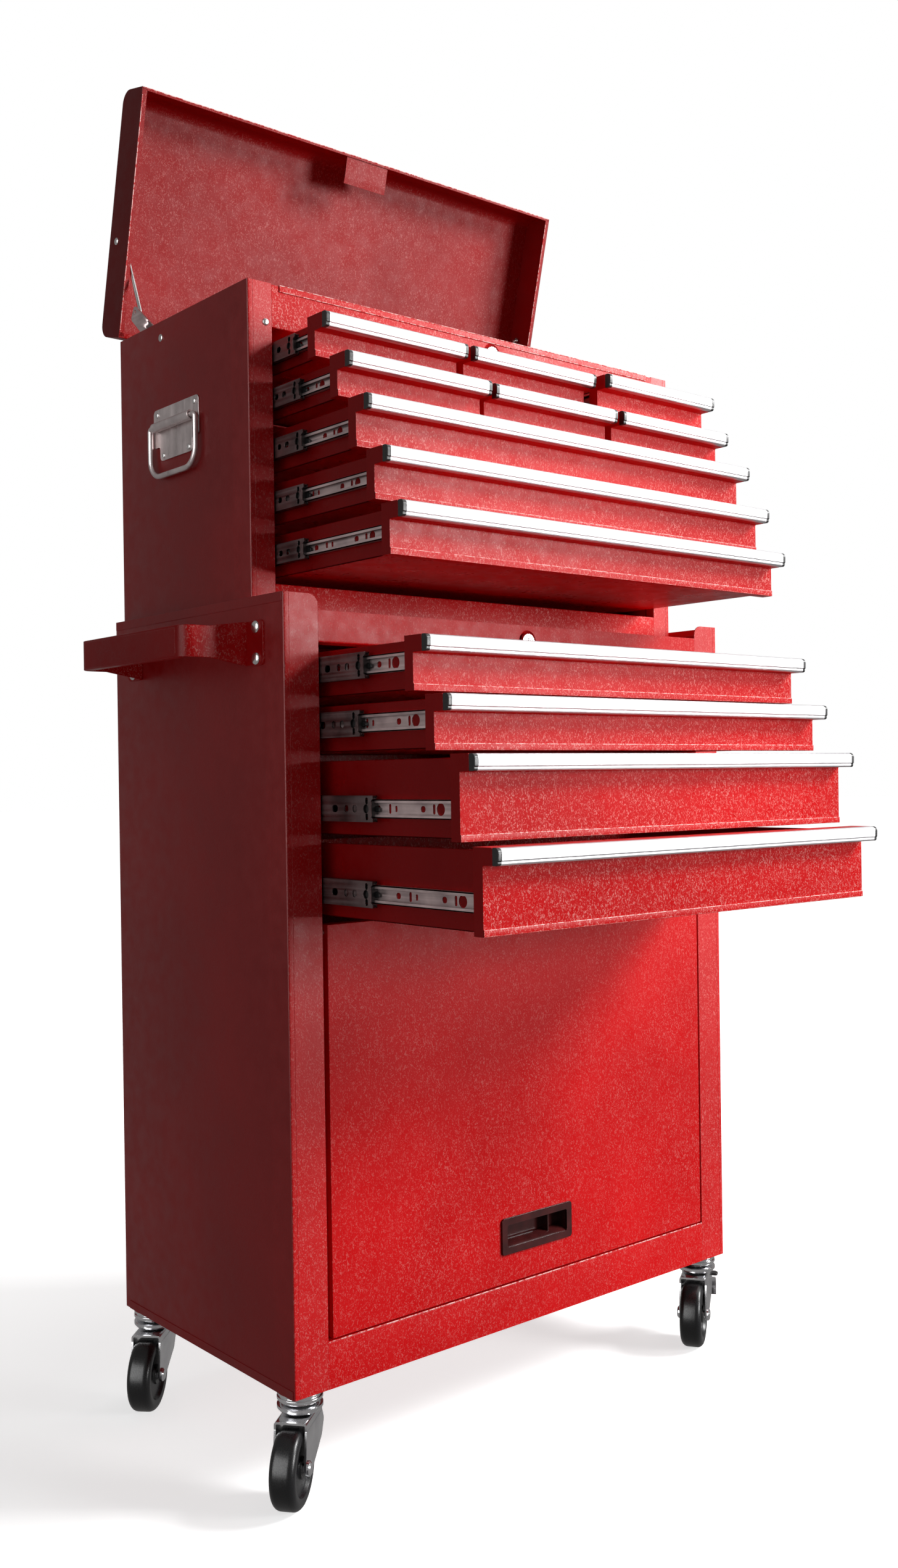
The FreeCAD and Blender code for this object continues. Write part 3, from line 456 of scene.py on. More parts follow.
def metal(name, colour, dark, roughness, grain, grain_strength):
    """Bare or plated metal, with grain running along one axis and duller patches."""
    material, tree, shader = principled(name, roughness, 1.0)
    plain = stretched(tree)
    lines = noise(tree, stretched(tree, grain), 1.0, 3.0)
    stains = remap(tree, noise(tree, plain, 38.0, 3.0), 0.35, 0.7)
    shade = mix(tree, stains, colour, dark)
    streaked = mix(tree, remap(tree, lines, 0.35, 0.75, 0.0, 0.35), shade, dark)
    rough = remap(tree, lines, 0.3, 0.7, roughness * 0.75, roughness * 1.35)
    feed(shader, {"Base Color": streaked, "Roughness": rough,
                  "Normal": relief(tree, grain_strength, 0.0001, lines)})
    return material


def moulded(name, colour, pale, roughness, scale, depth):
    """Black rubber or plastic with a fine moulded skin and paler scuffed patches."""
    material, tree, shader = principled(name, roughness, 0.0)
    plain = stretched(tree)
    skin = noise(tree, plain, scale, 3.0)
    shade = mix(tree, remap(tree, noise(tree, plain, 45.0, 2.0), 0.4, 0.7), colour, pale)
    rough = remap(tree, skin, 0.3, 0.7, roughness * 0.8, roughness * 1.25)
    feed(shader, {"Base Color": shade, "Roughness": rough, "Normal": relief(tree, 0.3, depth, skin)})
    return material


PAINT = paint("red_hammer_paint", 0.50, 0.32, 0.10)
# Paint for the rolled beads on hems and lips, with painted glints and a painted edge highlight.
EDGE_GLINT_PAINT = paint("red_edge_glint", 0.85, 0.30, 0.20, edge_glint=0.9)
DOOR_PAINT = paint("red_fine_paint", 0.20, 0.36, 0.12)
SMOOTH_PAINT = paint("red_smooth_paint", 0.26, 0.40, 0.28)
# The lid's paint is darkened to half: painted shade for the inside of the open lid, which faces down.
LID_SHADED_PAINT = paint("red_lid_paint_shaded", 0.20, 0.42, 0.12, shade_scale=0.50)
ALUMINIUM = metal("brushed_aluminium", (0.76, 0.75, 0.76, 1.0), (0.62, 0.61, 0.63, 1.0), 0.42,
                  (3.0, 900.0, 900.0), 0.25)
# The zinc's pink tint is a painted reflection of the red paint around the slides.
ZINC = metal("zinc_plate", (0.60, 0.48, 0.47, 1.0), (0.36, 0.28, 0.28, 1.0), 0.38,
             (300.0, 8.0, 300.0), 0.2)
# A darker copy of the zinc plate: painted shade for the middle and fixed slide members, which sit deeper
# in the bays.
SHADED_ZINC = metal("zinc_plate_shaded", (0.22, 0.17, 0.17, 1.0), (0.09, 0.07, 0.07, 1.0), 0.34,
                   (300.0, 8.0, 300.0), 0.2)
BRIGHT = metal("bright_steel", (0.74, 0.73, 0.72, 1.0), (0.50, 0.48, 0.47, 1.0), 0.24,
               (120.0, 120.0, 12.0), 0.15)
CHROME = metal("polished_chrome", (0.86, 0.86, 0.87, 1.0), (0.66, 0.66, 0.68, 1.0), 0.16,
               (50.0, 50.0, 50.0), 0.05)
SATIN_PLATE = metal("satin_plate", (0.70, 0.62, 0.61, 1.0), (0.46, 0.40, 0.40, 1.0), 0.34,
                    (200.0, 200.0, 20.0), 0.2)
RUBBER = moulded("black_rubber", (0.006, 0.006, 0.007, 1.0), (0.012, 0.012, 0.013, 1.0), 0.30,
                 900.0, 0.00008)
PLASTIC = moulded("black_plastic", (0.008, 0.008, 0.008, 1.0), (0.016, 0.015, 0.015, 1.0), 0.33,
                  1200.0, 0.00006)
# The dark maroon tint of the pull's plastic is a painted reflection of the red paint around it.
PULL_PLASTIC = moulded("gloss_plastic", (0.040, 0.008, 0.008, 1.0), (0.075, 0.012, 0.012, 1.0),
                       0.16, 900.0, 0.00004)


# ---- cabinet and chest
def wrapped_body(low, high, opening, stile_return, corner):
    """Sides and back bent from one sheet, with front stiles rounded at the top."""
    shape = Shape()
    bend = 1.8
    wrap = 6.0
    half = high.x
    shape.sheet([(half - wrap, low.y, 0), (half, low.y, bend), (half, high.y, bend),
                 (-half, high.y, bend), (-half, low.y, bend), (-half + wrap, low.y, 0)],
                SHEET, "z", low.z, high.z)
    for side in (-1, 1):
        outer = side * (half - wrap)
        inner = side * opening
        outline = rounded([(outer, low.z, 0), (inner, low.z, 0), (inner, high.z, corner),
                           (outer, high.z, 0)])
        shape.prism(outline, "y", low.y, low.y + SHEET)
        shape.box(inner, inner + side * SHEET, low.y + SHEET, low.y + stile_return, low.z,
                  high.z - corner)
    return shape


def cabinet_body():
    low, high = CABINET_LOW, CABINET_HIGH
    shape = wrapped_body(low, high, CABINET_OPENING, 14.0, 11.0)
    hem = 9.0
    proud = 0.7
    foot = 8.5
    for side in (-1, 1):
        x0 = side * high.x
        x1 = side * (high.x + proud)
        shape.box(x0, x1, low.y + 2.0, high.y - 2.0, high.z - hem, high.z)
        shape.box(x0, x1, low.y + 2.0, high.y - 10.0, low.z, low.z + foot)
    shape.piece("cabinet_body", "cabinet", [SMOOTH_PAINT], "red_paint", ["cabinet_shell"])


def chest_body():
    shape = wrapped_body(CHEST_LOW, CHEST_HIGH, CHEST_OPENING, 12.0, 0.0)
    shape.piece("chest_body", "cabinet", [SMOOTH_PAINT], "red_paint", ["chest_shell"])


def lock_rail(shape, lock, span, face, bottom, top, depth):
    """A front rail with its bottom bend and a pressed cup round its lock cylinder."""
    x, z = lock
    cup = 12.0
    flat = bottom + 4.0
    outline = [(-span, flat), (span, flat), (span, top), (-span, top)]
    shape.plate(outline, [circle(x, z, cup, 40)], "y", face, face + SHEET)
    shape.lathe([(cup + 0.9, 0.2), (cup, 0.0), (cup - 1.5, 2.2), (9.4, 3.6), (8.9, 4.8),
                 (cup, 4.8), (cup + 0.9, 1.2)], (x, face, z), (0, 1, 0), 48)
    shape.sheet([(face + depth, bottom, 0), (face, bottom, 1.4), (face, flat, 0)],
                -SHEET, "x", -span, span)


def lock_centre(name):
    """Where a lock's cylinder stands on its rail, from its joint."""
    centre = joint_at(name + "_turn")
    return centre.x, centre.z


def front_rails():
    low, high = cab_box("cabinet_front_rails")
    shape = Shape()
    face = low.y
    lock_bottom = 703.5
    bottom_top = 45.0
    depth = 20.0
    lock_rail(shape, lock_centre("cabinet_lock"), high.x, face, lock_bottom, high.z, depth)
    shape.sheet([(face + depth, bottom_top, 0), (face, bottom_top, 1.8), (face, low.z, 0)],
                SHEET, "x", -high.x, high.x)
    shape.bead((-high.x, face + 0.2, bottom_top - 0.3), (high.x, face + 0.2, bottom_top - 0.3))
    shape.piece("cabinet_rails", "cabinet", [DOOR_PAINT, EDGE_GLINT_PAINT], "red_paint",
                ["cabinet_front_rails"])

    low, high = cab_box("chest_front_rails")
    shape = Shape()
    face = CHEST_LOW.y
    rail_bottom = 1014.0
    pan_top = 765.5
    lock_rail(shape, lock_centre("chest_lock"), high.x, face, rail_bottom, high.z - 1.0, 12)
    hem_end = high.x - 9.0
    shape.sheet([(face + 7, high.z, 0), (face - 0.9, high.z, 1.4), (face - 0.9, high.z - 6.5, 0)],
                SHEET, "x", -hem_end, hem_end)
    for z in (high.z - 0.5, high.z - 6.2):
        shape.bead((-hem_end, face - 0.6, z), (hem_end, face - 0.6, z))
    shape.sheet([(face + 12, pan_top, 0), (face, pan_top, 1.4), (face, low.z, 0)],
                SHEET, "x", -high.x, high.x)
    shape.piece("chest_rails", "cabinet", [PAINT, EDGE_GLINT_PAINT], "red_paint", ["chest_front_rails"])


# ---- slides
def slide_holes(start, length, height, member):
    """The pressed slots and round holes of one slide member, from its front end."""
    if member == "inner":
        slots = [(31.0, 0.0, 3.4, height * 0.52), (46.0, 0.0, 6.4, 5.6), (84.0, 0.0, 3.2, 5.6),
                 (93.0, 0.0, 3.4, height * 0.52), (110.0, 0.0, 6.4, 5.6), (160.0, 0.0, 6.4, 5.6)]
        rounds = [(22.0, height * 0.325), (length - 30.0, height * 0.26)]
    elif member == "middle":
        slots = [(9.0, height * 0.30, 4.0, height * 0.26), (9.0, -height * 0.30, 4.0, height * 0.26),
                 (27.0, 0.0, 7.0, height * 0.28), (40.0, 0.0, 6.4, height * 0.28),
                 (58.0, 0.0, 9.0, height * 0.28)]
        rounds = [(10.0, height * 0.17)]
    else:
        slots = [(14.0, 0.0, 9.0, 5.0), (length - 40.0, 0.0, 9.0, 5.0)]
        rounds = [(60.0, 3.2)]
    holes = [slot_outline(start + along, up, wide, tall) for along, up, wide, tall in slots]
    return holes + [circle(start + along, 0.0, radius, 20) for along, radius in rounds]


def slide_member(shape, wall, side, z, start, bay, member):
    """One member beside a tray wall: its web with windows and its two curled edges."""
    length = bay["length"]
    height = bay["heights"][member]
    webs = {"outer": (SLIDE_SPACE, -1.2, -7.0), "middle": (SLIDE_SPACE - 1.9, -1.2, -6.2),
            "inner": (0.0, 1.2, 5.6)}
    offset, thick, curl = webs[member]
    half = height / 2.0
    notch = 5.0 if member == "inner" else 3.0
    outline = [(start, half), (start, half - 3.0), (start + notch, half - 5.0),
               (start + notch, 5.0 - half), (start, 3.0 - half), (start, -half),
               (start + length, -half), (start + length, half)]
    web = wall + side * offset
    loops = [[(y, z + b) for y, b in loop]
             for loop in [outline] + slide_holes(start, length, height, member)]
    shape.plate(loops[0], loops[1:], "x", web, web + side * thick)
    tip = web + side * curl
    lip = tip - side * math.copysign(1.1, curl)
    for turn in (-1, 1):
        edge = z + turn * half
        shape.box(web + side * thick * 0.2, tip, start + 1.0, start + length, edge, edge - turn * 1.1)
        shape.box(tip, lip, start + 1.0, start + length, edge, edge - turn * 3.2)


def slide_retainer(shape, wall, side, z, start, bay):
    """The black plastic block and lever where the members run into each other."""
    inner = wall + side * 1.4
    reach = bay["heights"]["middle"] * 0.33
    shape.prism(rectangle(start + 4.0, start + 26.0, z - reach, z + reach, 1.2), "x",
                inner, wall + side * 8.6)
    shape.prism(rounded([(start - 1.5, z - 2.2, 0.5), (start + 6.0, z - 3.4, 1.0),
                         (start + 6.0, z + 3.4, 1.0), (start - 1.5, z + 0.4, 0.5)]), "x",
                inner, wall + side * 4.4)


# ---- drawers
LARGE_SLIDE = {"outer": 30.0, "middle": 24.0, "inner": 17.0}
SMALL_SLIDE = {"outer": 25.0, "middle": 19.5, "inner": 13.0}
BAYS = {
    "cabinet": {"opening": CABINET_OPENING, "length": 290.0, "rise": 27.0, "heights": LARGE_SLIDE},
    "chest": {"opening": CHEST_OPENING, "length": 230.0, "rise": 22.0, "heights": SMALL_SLIDE},
    "small": {"opening": (CHEST_OPENING - 3.0) / 3.0, "length": 230.0, "rise": 19.5,
              "heights": SMALL_SLIDE},
}


def drawer_tray(low, high, bay):
    """Folded front with a rolled bottom lip and a nose, ends, and the tray behind."""
    shape = Shape()
    centre = (low.x + high.x) / 2.0
    face = low.y + PULL_DEPTH + NOSE_DEPTH
    inner = face + FRONT_DEPTH
    top = high.z
    nose = top - NOSE_HEIGHT
    x0 = low.x
    x1 = high.x
    shape.sheet([(inner, top, 0), (face - NOSE_DEPTH, top, 1.6), (face - NOSE_DEPTH, nose, 1.4),
                 (face, nose, 1.0), (face, low.z, 1.2), (inner, low.z, 0)],
                TRAY_SHEET, "x", x0, x1)
    lip = 6.0
    shape.prism(rounded([(face - 1.0, low.z, 0.45), (face + 0.3, low.z, 0.0),
                         (face + 0.3, low.z + lip, 0.0), (face - 1.0, low.z + lip, 0.45)], steps=3),
                "x", x0, x1)
    for z in (low.z + 0.55, low.z + lip - 0.3):
        shape.bead((x0, face - 0.5, z), (x1, face - 0.5, z))
    end = [(face + 0.5, low.z + 0.5), (inner, low.z + 0.5), (inner, top - 0.5),
           (face - NOSE_DEPTH + 0.5, top - 0.5), (face - NOSE_DEPTH + 0.5, nose + 0.5),
           (face + 0.5, nose + 0.5)]
    for x in (x0 + 0.15, x1 - 1.15):
        shape.prism(end, "x", x, x + 1.0)
    wall = bay["opening"] - SLIDE_SPACE
    back = high.y
    floor = low.z + 2.0
    side_top = top - 3.0
    shape.box(x0 + 0.2, x1 - 0.2, inner - 1.2, inner - 0.2, low.z + 0.9, top - 0.9)
    shape.box(centre - wall, centre + wall, inner, back, floor, floor + TRAY_SHEET)
    shape.box(centre - wall, centre + wall, back - TRAY_SHEET, back, floor, side_top)
    roll = 1.1
    for side in (-1, 1):
        outer = centre + side * wall
        shape.box(outer, outer - side * TRAY_SHEET, inner, back, floor, side_top - roll)
        shape.tube([(outer - side * roll, inner, side_top - roll),
                    (outer - side * roll, back, side_top - roll)], roll, 10)
    return shape


def pull_section(face, top):
    """The pull's D-shaped section, with a crease above its lower lip."""
    back = face - NOSE_DEPTH
    front = back - PULL_DEPTH
    bottom = top - NOSE_HEIGHT
    return rounded([(back, top, 0.6), (front, top, 4.6), (front + 0.3, bottom + 4.4, 0.8),
                    (front + 1.2, bottom + 3.6, 0.6), (front + 1.0, bottom, 2.2),
                    (back, bottom, 0.4)], steps=7)


def drawer(name, bay):
    """A drawer with its pull, end caps and slide members, and the members that follow it."""
    low, high = cab_box(name)
    centre = (low.x + high.x) / 2.0
    half = (high.x - low.x) / 2.0
    face = low.y + PULL_DEPTH + NOSE_DEPTH
    drawer_tray(low, high, bay).piece(name + "_tray", name, [PAINT, EDGE_GLINT_PAINT], "red_paint", [name])
    section = pull_section(face, high.z)
    pull = Shape()
    pull.prism(section, "x", low.x + CAP_WIDTH, high.x - CAP_WIDTH)
    pull.piece(name + "_pull", name, [ALUMINIUM], "brushed_aluminium", edge=0.2)
    caps = Shape()
    runners = Shape()
    middle = Shape()
    retainers = Shape()
    z = low.z + bay["rise"]
    middle_start = cab_box(name + "_slides")[0].y
    for side in (-1, 1):
        outer = centre + side * half
        caps.prism(section, "x", outer, outer - side * (CAP_WIDTH - 0.1))
        wall = centre + side * (bay["opening"] - SLIDE_SPACE)
        slide_member(runners, wall, side, z, face + SLIDE_START, bay, "inner")
        slide_member(middle, wall, side, z, middle_start, bay, "middle")
        slide_retainer(retainers, wall, side, z, middle_start, bay)
    follower = name + "_slides"
    caps.piece(name + "_end_caps", name, [PLASTIC], "black_plastic", edge=0.7)
    runners.piece(name + "_runners", name, [ZINC], "zinc_steel", edge=0.15)
    middle.piece(name + "_middle_members", follower, [SHADED_ZINC], "zinc_steel", [follower], edge=0.15)
    retainers.piece(name + "_retainers", follower, [PLASTIC], "black_plastic", edge=0.3)


def all_drawers():
    fixed = Shape()
    for name in frame["nodes"]:
        if name + "_slides" not in frame["nodes"]:
            continue
        kind = name.split("_")[0]
        bay = BAYS[kind]
        drawer(name, bay)
        low, high = cab_box(name)
        face = CABINET_LOW.y if kind == "cabinet" else CHEST_LOW.y
        for side in (-1, 1):
            wall = (low.x + high.x) / 2.0 + side * (bay["opening"] - SLIDE_SPACE)
            slide_member(fixed, wall, side, low.z + bay["rise"], face + SLIDE_START, bay, "outer")
    fixed.piece("fixed_slide_members", "cabinet", [SHADED_ZINC], "zinc_steel", ["slide_outer_members"],
                edge=0.15)


# ---- lid
HINGE = joint_at("lid_hinge")
LID_OPEN = math.radians(JOINTS["lid_hinge"]["range_deg"][0])
OPENED = (Matrix.Translation((0.0, HINGE.y, HINGE.z)) @ Matrix.Rotation(LID_OPEN, 4, "X")
          @ Matrix.Translation((0.0, -HINGE.y, -HINGE.z)))
LID_RIM = HINGE.z + 0.5
LID_TOP = LID_RIM + 43.0
LID_BACK = 325.6
LID_FRONT = CHEST_LOW.y
LID_HALF = CHEST_HIGH.x


def lid_pan():
    """A pan with rolled front and back corners, end walls and a turned-in rim."""
    shape = Shape()
    corner = 14.0
    lip = 3.0
    shape.sheet([(LID_BACK - 6.0, LID_RIM, 0), (LID_BACK, LID_RIM, 1.6), (LID_BACK, LID_TOP, corner),
                 (LID_FRONT, LID_TOP, corner), (LID_FRONT, LID_RIM, 1.6), (LID_FRONT + lip, LID_RIM, 0)],
                SHEET, "x", -LID_HALF + 0.6, LID_HALF - 0.6)
    outline = rounded([(LID_BACK, LID_RIM, 0), (LID_BACK, LID_TOP, corner), (LID_FRONT, LID_TOP, corner),
                       (LID_FRONT, LID_RIM, 0)], steps=9)
    for side in (-1, 1):
        shape.prism(outline, "x", side * LID_HALF, side * (LID_HALF - SHEET))
        x0, x1 = sorted((side * (LID_HALF - 0.4), side * (LID_HALF - 6.0)))
        shape.box(x0, x1, LID_FRONT + 0.6, LID_BACK - 0.6, LID_RIM, LID_RIM + SHEET)
        shape.bead((x0 + 0.5, LID_FRONT + 8.0, LID_RIM), (x0 + 0.5, LID_BACK - 8.0, LID_RIM), 0.5)
    shape.bead((-LID_HALF + 2.0, LID_FRONT + 0.4, LID_RIM + 0.3),
               (LID_HALF - 2.0, LID_FRONT + 0.4, LID_RIM + 0.3), 0.6)
    shape.transform(OPENED)
    shape.piece("lid_pan", "lid", [LID_SHADED_PAINT, EDGE_GLINT_PAINT], "red_paint", ["lid"], edge=0.5)


def lid_strike():
    shape = Shape()
    height = LID_RIM + SHEET
    shape.sheet([(LID_FRONT + 2.0, height, 0), (LID_FRONT + 26.0, height, 0.8),
                 (LID_FRONT + 33.0, height + 0.9, 0)], SHEET, "x", -30.0, 30.0)
    shape.transform(OPENED)
    shape.piece("lock_strike", "lid", [LID_SHADED_PAINT], "red_paint")


HINGE_REACH = 280.0
KNUCKLES = 14


def hinge_leaf(first, y, tab, leaf):
    """One leaf of the long hinge with every second knuckle, as rolled sheet."""
    shape = Shape()
    pitch = 2.0 * HINGE_REACH / KNUCKLES
    span = pitch - 0.6
    for index in range(first, KNUCKLES, 2):
        x0 = -HINGE_REACH + index * pitch + 0.3
        shape.lathe([(1.5, 0.0), (3.0, 0.0), (3.0, span), (1.5, span)], (x0, HINGE.y, HINGE.z),
                    (1, 0, 0), 20)
        shape.box(x0, x0 + span, y, y + SHEET, *tab)
    shape.box(-HINGE_REACH, HINGE_REACH, y, y + SHEET, *leaf)
    return shape


def lid_hinge():
    """The leaf on the chest's back with the hinge pin, and the leaf on the lid."""
    joint = CHEST_HIGH.z - 1.2
    fixed = hinge_leaf(0, CHEST_HIGH.y, (joint, HINGE.z), (CHEST_HIGH.z - 22.0, joint))
    fixed.tube([(-HINGE_REACH, HINGE.y, HINGE.z), (HINGE_REACH, HINGE.y, HINGE.z)], 1.4, 12)
    fixed.piece("hinge_fixed_leaf", "cabinet", [ZINC], "zinc_steel", ["lid_hinge_leaf"], edge=0.2)
    moving = hinge_leaf(1, LID_BACK, (HINGE.z, HINGE.z + 4.0), (HINGE.z + 4.0, HINGE.z + 22.0))
    moving.transform(OPENED)
    moving.piece("hinge_moving_leaf", "lid", [ZINC], "zinc_steel", ["lid_fittings"], edge=0.2)


def lid_stays():
    """Bent wire rods on the lid and flat links on the chest's inner walls."""
    body = joint_at("lid_stay_link_pivot")
    top = joint_at("lid_stay_rod_pivot")
    knee = Vector((0.0, 295.0, 1082.0))
    rod_x = 290.5
    link_x = 296.8
    wall = LID_HALF - SHEET - 0.3
    rods = Shape()
    rods.tube(rounded_wire([(wall, top.y, top.z), (rod_x, top.y, top.z), (rod_x, knee.y, knee.z),
                            (link_x - 1.6, knee.y, knee.z)], 3.5), 2.0, 12)
    rods.lathe([(0, 0), (3.6, 0), (3.6, 1.0), (2.4, 1.8), (0, 1.8)], (wall - 3.0, top.y, top.z),
               (1, 0, 0), 20)
    rods.mirror()
    rods.piece("stay_rods", "lid_stay_rods", [BRIGHT], "bright_steel", ["lid_stay_rods"], edge=0.2)
    links = Shape()
    outline = rounded([(body.y - 8, body.z - 4, 4), (body.y + 18, body.z - 8, 4),
                       (knee.y + 9, knee.z - 6, 4), (knee.y + 1, knee.z + 8, 4)])
    holes = [circle(body.y, body.z, 2.3, 20), circle(knee.y, knee.z, 2.3, 20)]
    links.plate(outline, holes, "x", link_x - 1.0, link_x + 1.0)
    links.mirror()
    links.piece("stay_links", "lid_stay_links", [ZINC], "bright_steel", ["lid_stay_links"], edge=0.25)


# ---- door
def door_panel():
    """A folded pan with a window for its pull, and its two hinge pins."""
    low, high = cab_box("door")
    left = -263.5
    right = 266.5
    cup_low, cup_high = cab_box("door_pull")
    rim = 6.0
    columns = [left, cup_low.x + rim, cup_high.x - rim, right]
    rows = [low.z, cup_low.z + rim, cup_high.z - rim, high.z]
    back = high.y
    shape = Shape()
    mesh = shape.mesh
    front = [[mesh.verts.new((x, low.y, z)) for z in rows] for x in columns]
    for i in range(3):
        for k in range(3):
            if (i, k) != (1, 1):
                mesh.faces.new((front[i][k], front[i + 1][k], front[i + 1][k + 1], front[i][k + 1]))
    border = [front[i][0] for i in range(4)] + [front[3][k] for k in range(1, 4)]
    border += [front[i][3] for i in (2, 1, 0)] + [front[0][k] for k in (2, 1)]
    rear = [mesh.verts.new((vertex.co.x, back, vertex.co.z)) for vertex in border]
    for index in range(len(border)):
        other = (index + 1) % len(border)
        mesh.faces.new((border[other], border[index], rear[index], rear[other]))
    panel = shape.piece("door_panel", "door", [DOOR_PAINT], "red_paint", ["door"], edge=0.0)
    solid = panel.modifiers.new("sheet", "SOLIDIFY")
    solid.thickness = SHEET * MM
    solid.offset = -1.0
    round_edges(panel, 0.9, 3)
    pivot = joint_at("door_hinge")
    pins = Shape()
    for start, end in ((left + 0.8, low.x), (right - 0.8, high.x)):
        pins.lathe([(0, 0), (2.5, 0), (2.5, abs(end - start)), (0, abs(end - start))],
                   (start, pivot.y, pivot.z), (end - start, 0, 0), 20)
    pins.piece("door_pins", "door", [BRIGHT], "bright_steel", edge=0.3)


def door_cup():
    """A glossy recessed pull: its frame, its cup and the finger ledge inside."""
    low, high = cab_box("door_pull")
    rim = 7.5
    radius = 3.5
    shape = Shape()
    x0, x1, z0, z1 = low.x + rim, high.x - rim, low.z + rim, high.z - rim
    shape.plate(rectangle(low.x, high.x, low.z, high.z, radius), [rectangle(x0, x1, z0, z1, 2)],
                "y", low.y, 0.0)
    wall = 1.6
    back = high.y
    for edge in (x0 - wall, x1):
        shape.box(edge, edge + wall, low.y + 0.4, back, z0 - wall, z1 + wall)
    for edge in (z0 - wall, z1):
        shape.box(x0, x1, low.y + 0.4, back, edge, edge + wall)
    shape.box(x0 - wall, x1 + wall, back - wall, back, z0 - wall, z1 + wall)
    shape.prism([(low.y + 0.6, z0), (low.y + 5.0, z0 + 3.2), (back - 4.0, z0 + 4.6), (back - 1.0, z0)],
                "x", x0, x1)
    shape.box(x1 - 24.0, x1 - 22.4, 3.0, back - 1.0, z0, z1)
    shape.piece("door_pull_cup", "door", [PULL_PLASTIC], "black_plastic", ["door_pull"], edge=0.5)


# ---- locks
def lock(name, face, cam_start, cam_length):
    """A nickel cylinder with a keyway and a bezel, and a cam behind the rail."""
    x, z = lock_centre(name)
    shape = Shape()
    keyway = [(x - 0.9, z - 4.5), (x + 0.9, z - 4.5), (x + 0.9, z + 4.5), (x - 0.9, z + 4.5)]
    shape.plate(circle(x, z, 8.5, 48), [keyway], "y", face - 1.5, face + 1.5)
    shape.lathe([(0, 1.5), (8.5, 1.5), (8.5, cam_start + 2.0), (0, cam_start + 2.0)], (x, face, z),
                (0, 1, 0), 48)
    shape.lathe([(6.9, -1.5), (7.2, -1.9), (8.2, -1.9), (8.5, -1.5)], (x, face, z), (0, 1, 0), 48)
    cam = rounded([(x - 5, z - 5, 2), (x + cam_length, z - 5, 4), (x + cam_length, z + 5, 4),
                   (x - 5, z + 5, 2)])
    shape.prism(cam, "y", face + cam_start, face + cam_start + 2.0)
    shape.piece(name + "_cylinder", name, [BRIGHT], "bright_steel", [name], edge=0.25)


# ---- handles
def push_handle():
    """A bent strip: two bolted flanges, tapering arms and a grip with curled lips."""
    low, high = cab_box("push_handle")
    side = CABINET_LOW.x
    sheet = 2.0
    outer = low.x
    flange = 30.0
    front = low.y + flange - sheet
    back = high.y - flange + sheet
    knee = outer + 30.0
    grip = (690.0, 720.0)
    bend = 13.0
    set_back = outer + 0.4
    shape = Shape()
    strip = shape.sheet(
        [(side - 1.0, front, 0), (knee, front, 0), (set_back, front, bend), (set_back, back, bend),
         (knee, back, 0), (side - 1.0, back, 0)], -sheet, "z", low.z, high.z)
    centre = (low.z + high.z) / 2.0
    for vertex in strip:
        share = max(0.0, min(1.0, (side - vertex.co.x) / (side - knee)))
        half = (high.z - low.z) / 2.0 * (1.0 - share) + (grip[1] - grip[0]) / 2.0 * share
        middle = centre + ((grip[0] + grip[1]) / 2.0 - centre) * share
        vertex.co.z = middle + math.copysign(half, vertex.co.z - centre)
    lip = 10.0
    shape.sheet([(outer + lip, grip[0], 0), (outer, grip[0], 3.2), (outer, grip[1], 3.2),
                 (outer + lip, grip[1], 0)], -sheet, "y", front + bend, back - bend)
    for y0, y1 in ((low.y, front + sheet), (back - sheet, high.y)):
        shape.prism(rectangle(y0, y1, low.z, high.z, 5), "x", side - sheet, side)
    shape.piece("push_handle_strip", "cabinet", [PAINT], "red_paint", ["push_handle"], edge=0.6)


def carry_handles():
    """Stepped plates with a rolled barrel, and wire bails hanging from them."""
    bail_low, bail_high = cab_box("bail_right")
    plate_low, plate_high = cab_box("carry_handle_plates")
    joint = joint_at("bail_right_swing")
    side = CHEST_HIGH.x
    wide = (plate_high.y - plate_low.y) / 2.0
    narrow = 33.0
    step = 925.0
    centre = (plate_low.y + plate_high.y) / 2.0
    shape = Shape()
    half = [(narrow, plate_low.z, 5), (narrow, step, 3), (wide, step, 3), (wide, plate_high.z, 5)]
    outline = [(centre + reach, z, radius) for reach, z, radius in half]
    outline += [(centre - reach, z, radius) for reach, z, radius in half[::-1]]
    shape.prism(rounded(outline), "x", side, side + 1.5)
    barrel = wide - 8.0
    shape.lathe([(3.3, -barrel), (5.0, -barrel), (5.0, barrel), (3.3, barrel)],
                (joint.x, joint.y, joint.z), (0, 1, 0), 28)
    shape.mirror()
    shape.piece("carry_plates", "cabinet", [SATIN_PLATE], "zinc_steel", ["carry_handle_plates"],
                edge=0.4)
    radius = 3.0
    near = bail_low.y + radius
    far = bail_high.y - radius
    low = bail_low.z + radius
    for sign, name in ((1, "bail_right"), (-1, "bail_left")):
        x = sign * joint.x
        wire = Shape()
        ends = rounded_wire([(x, near + 18, joint.z), (x, near, joint.z), (x, near, low),
                             (x, far, low), (x, far, joint.z), (x, far - 18, joint.z)], 3.6)
        curved = rounded_wire([(x, near, joint.z - 4), (x, near, low), (x, far, low),
                               (x, far, joint.z - 4)], 20.0, 10)
        wire.tube(ends[:7] + curved + ends[-7:], radius, 16)
        wire.piece(name + "_wire", name, [SATIN_PLATE], "bright_steel", [name], edge=0.0)


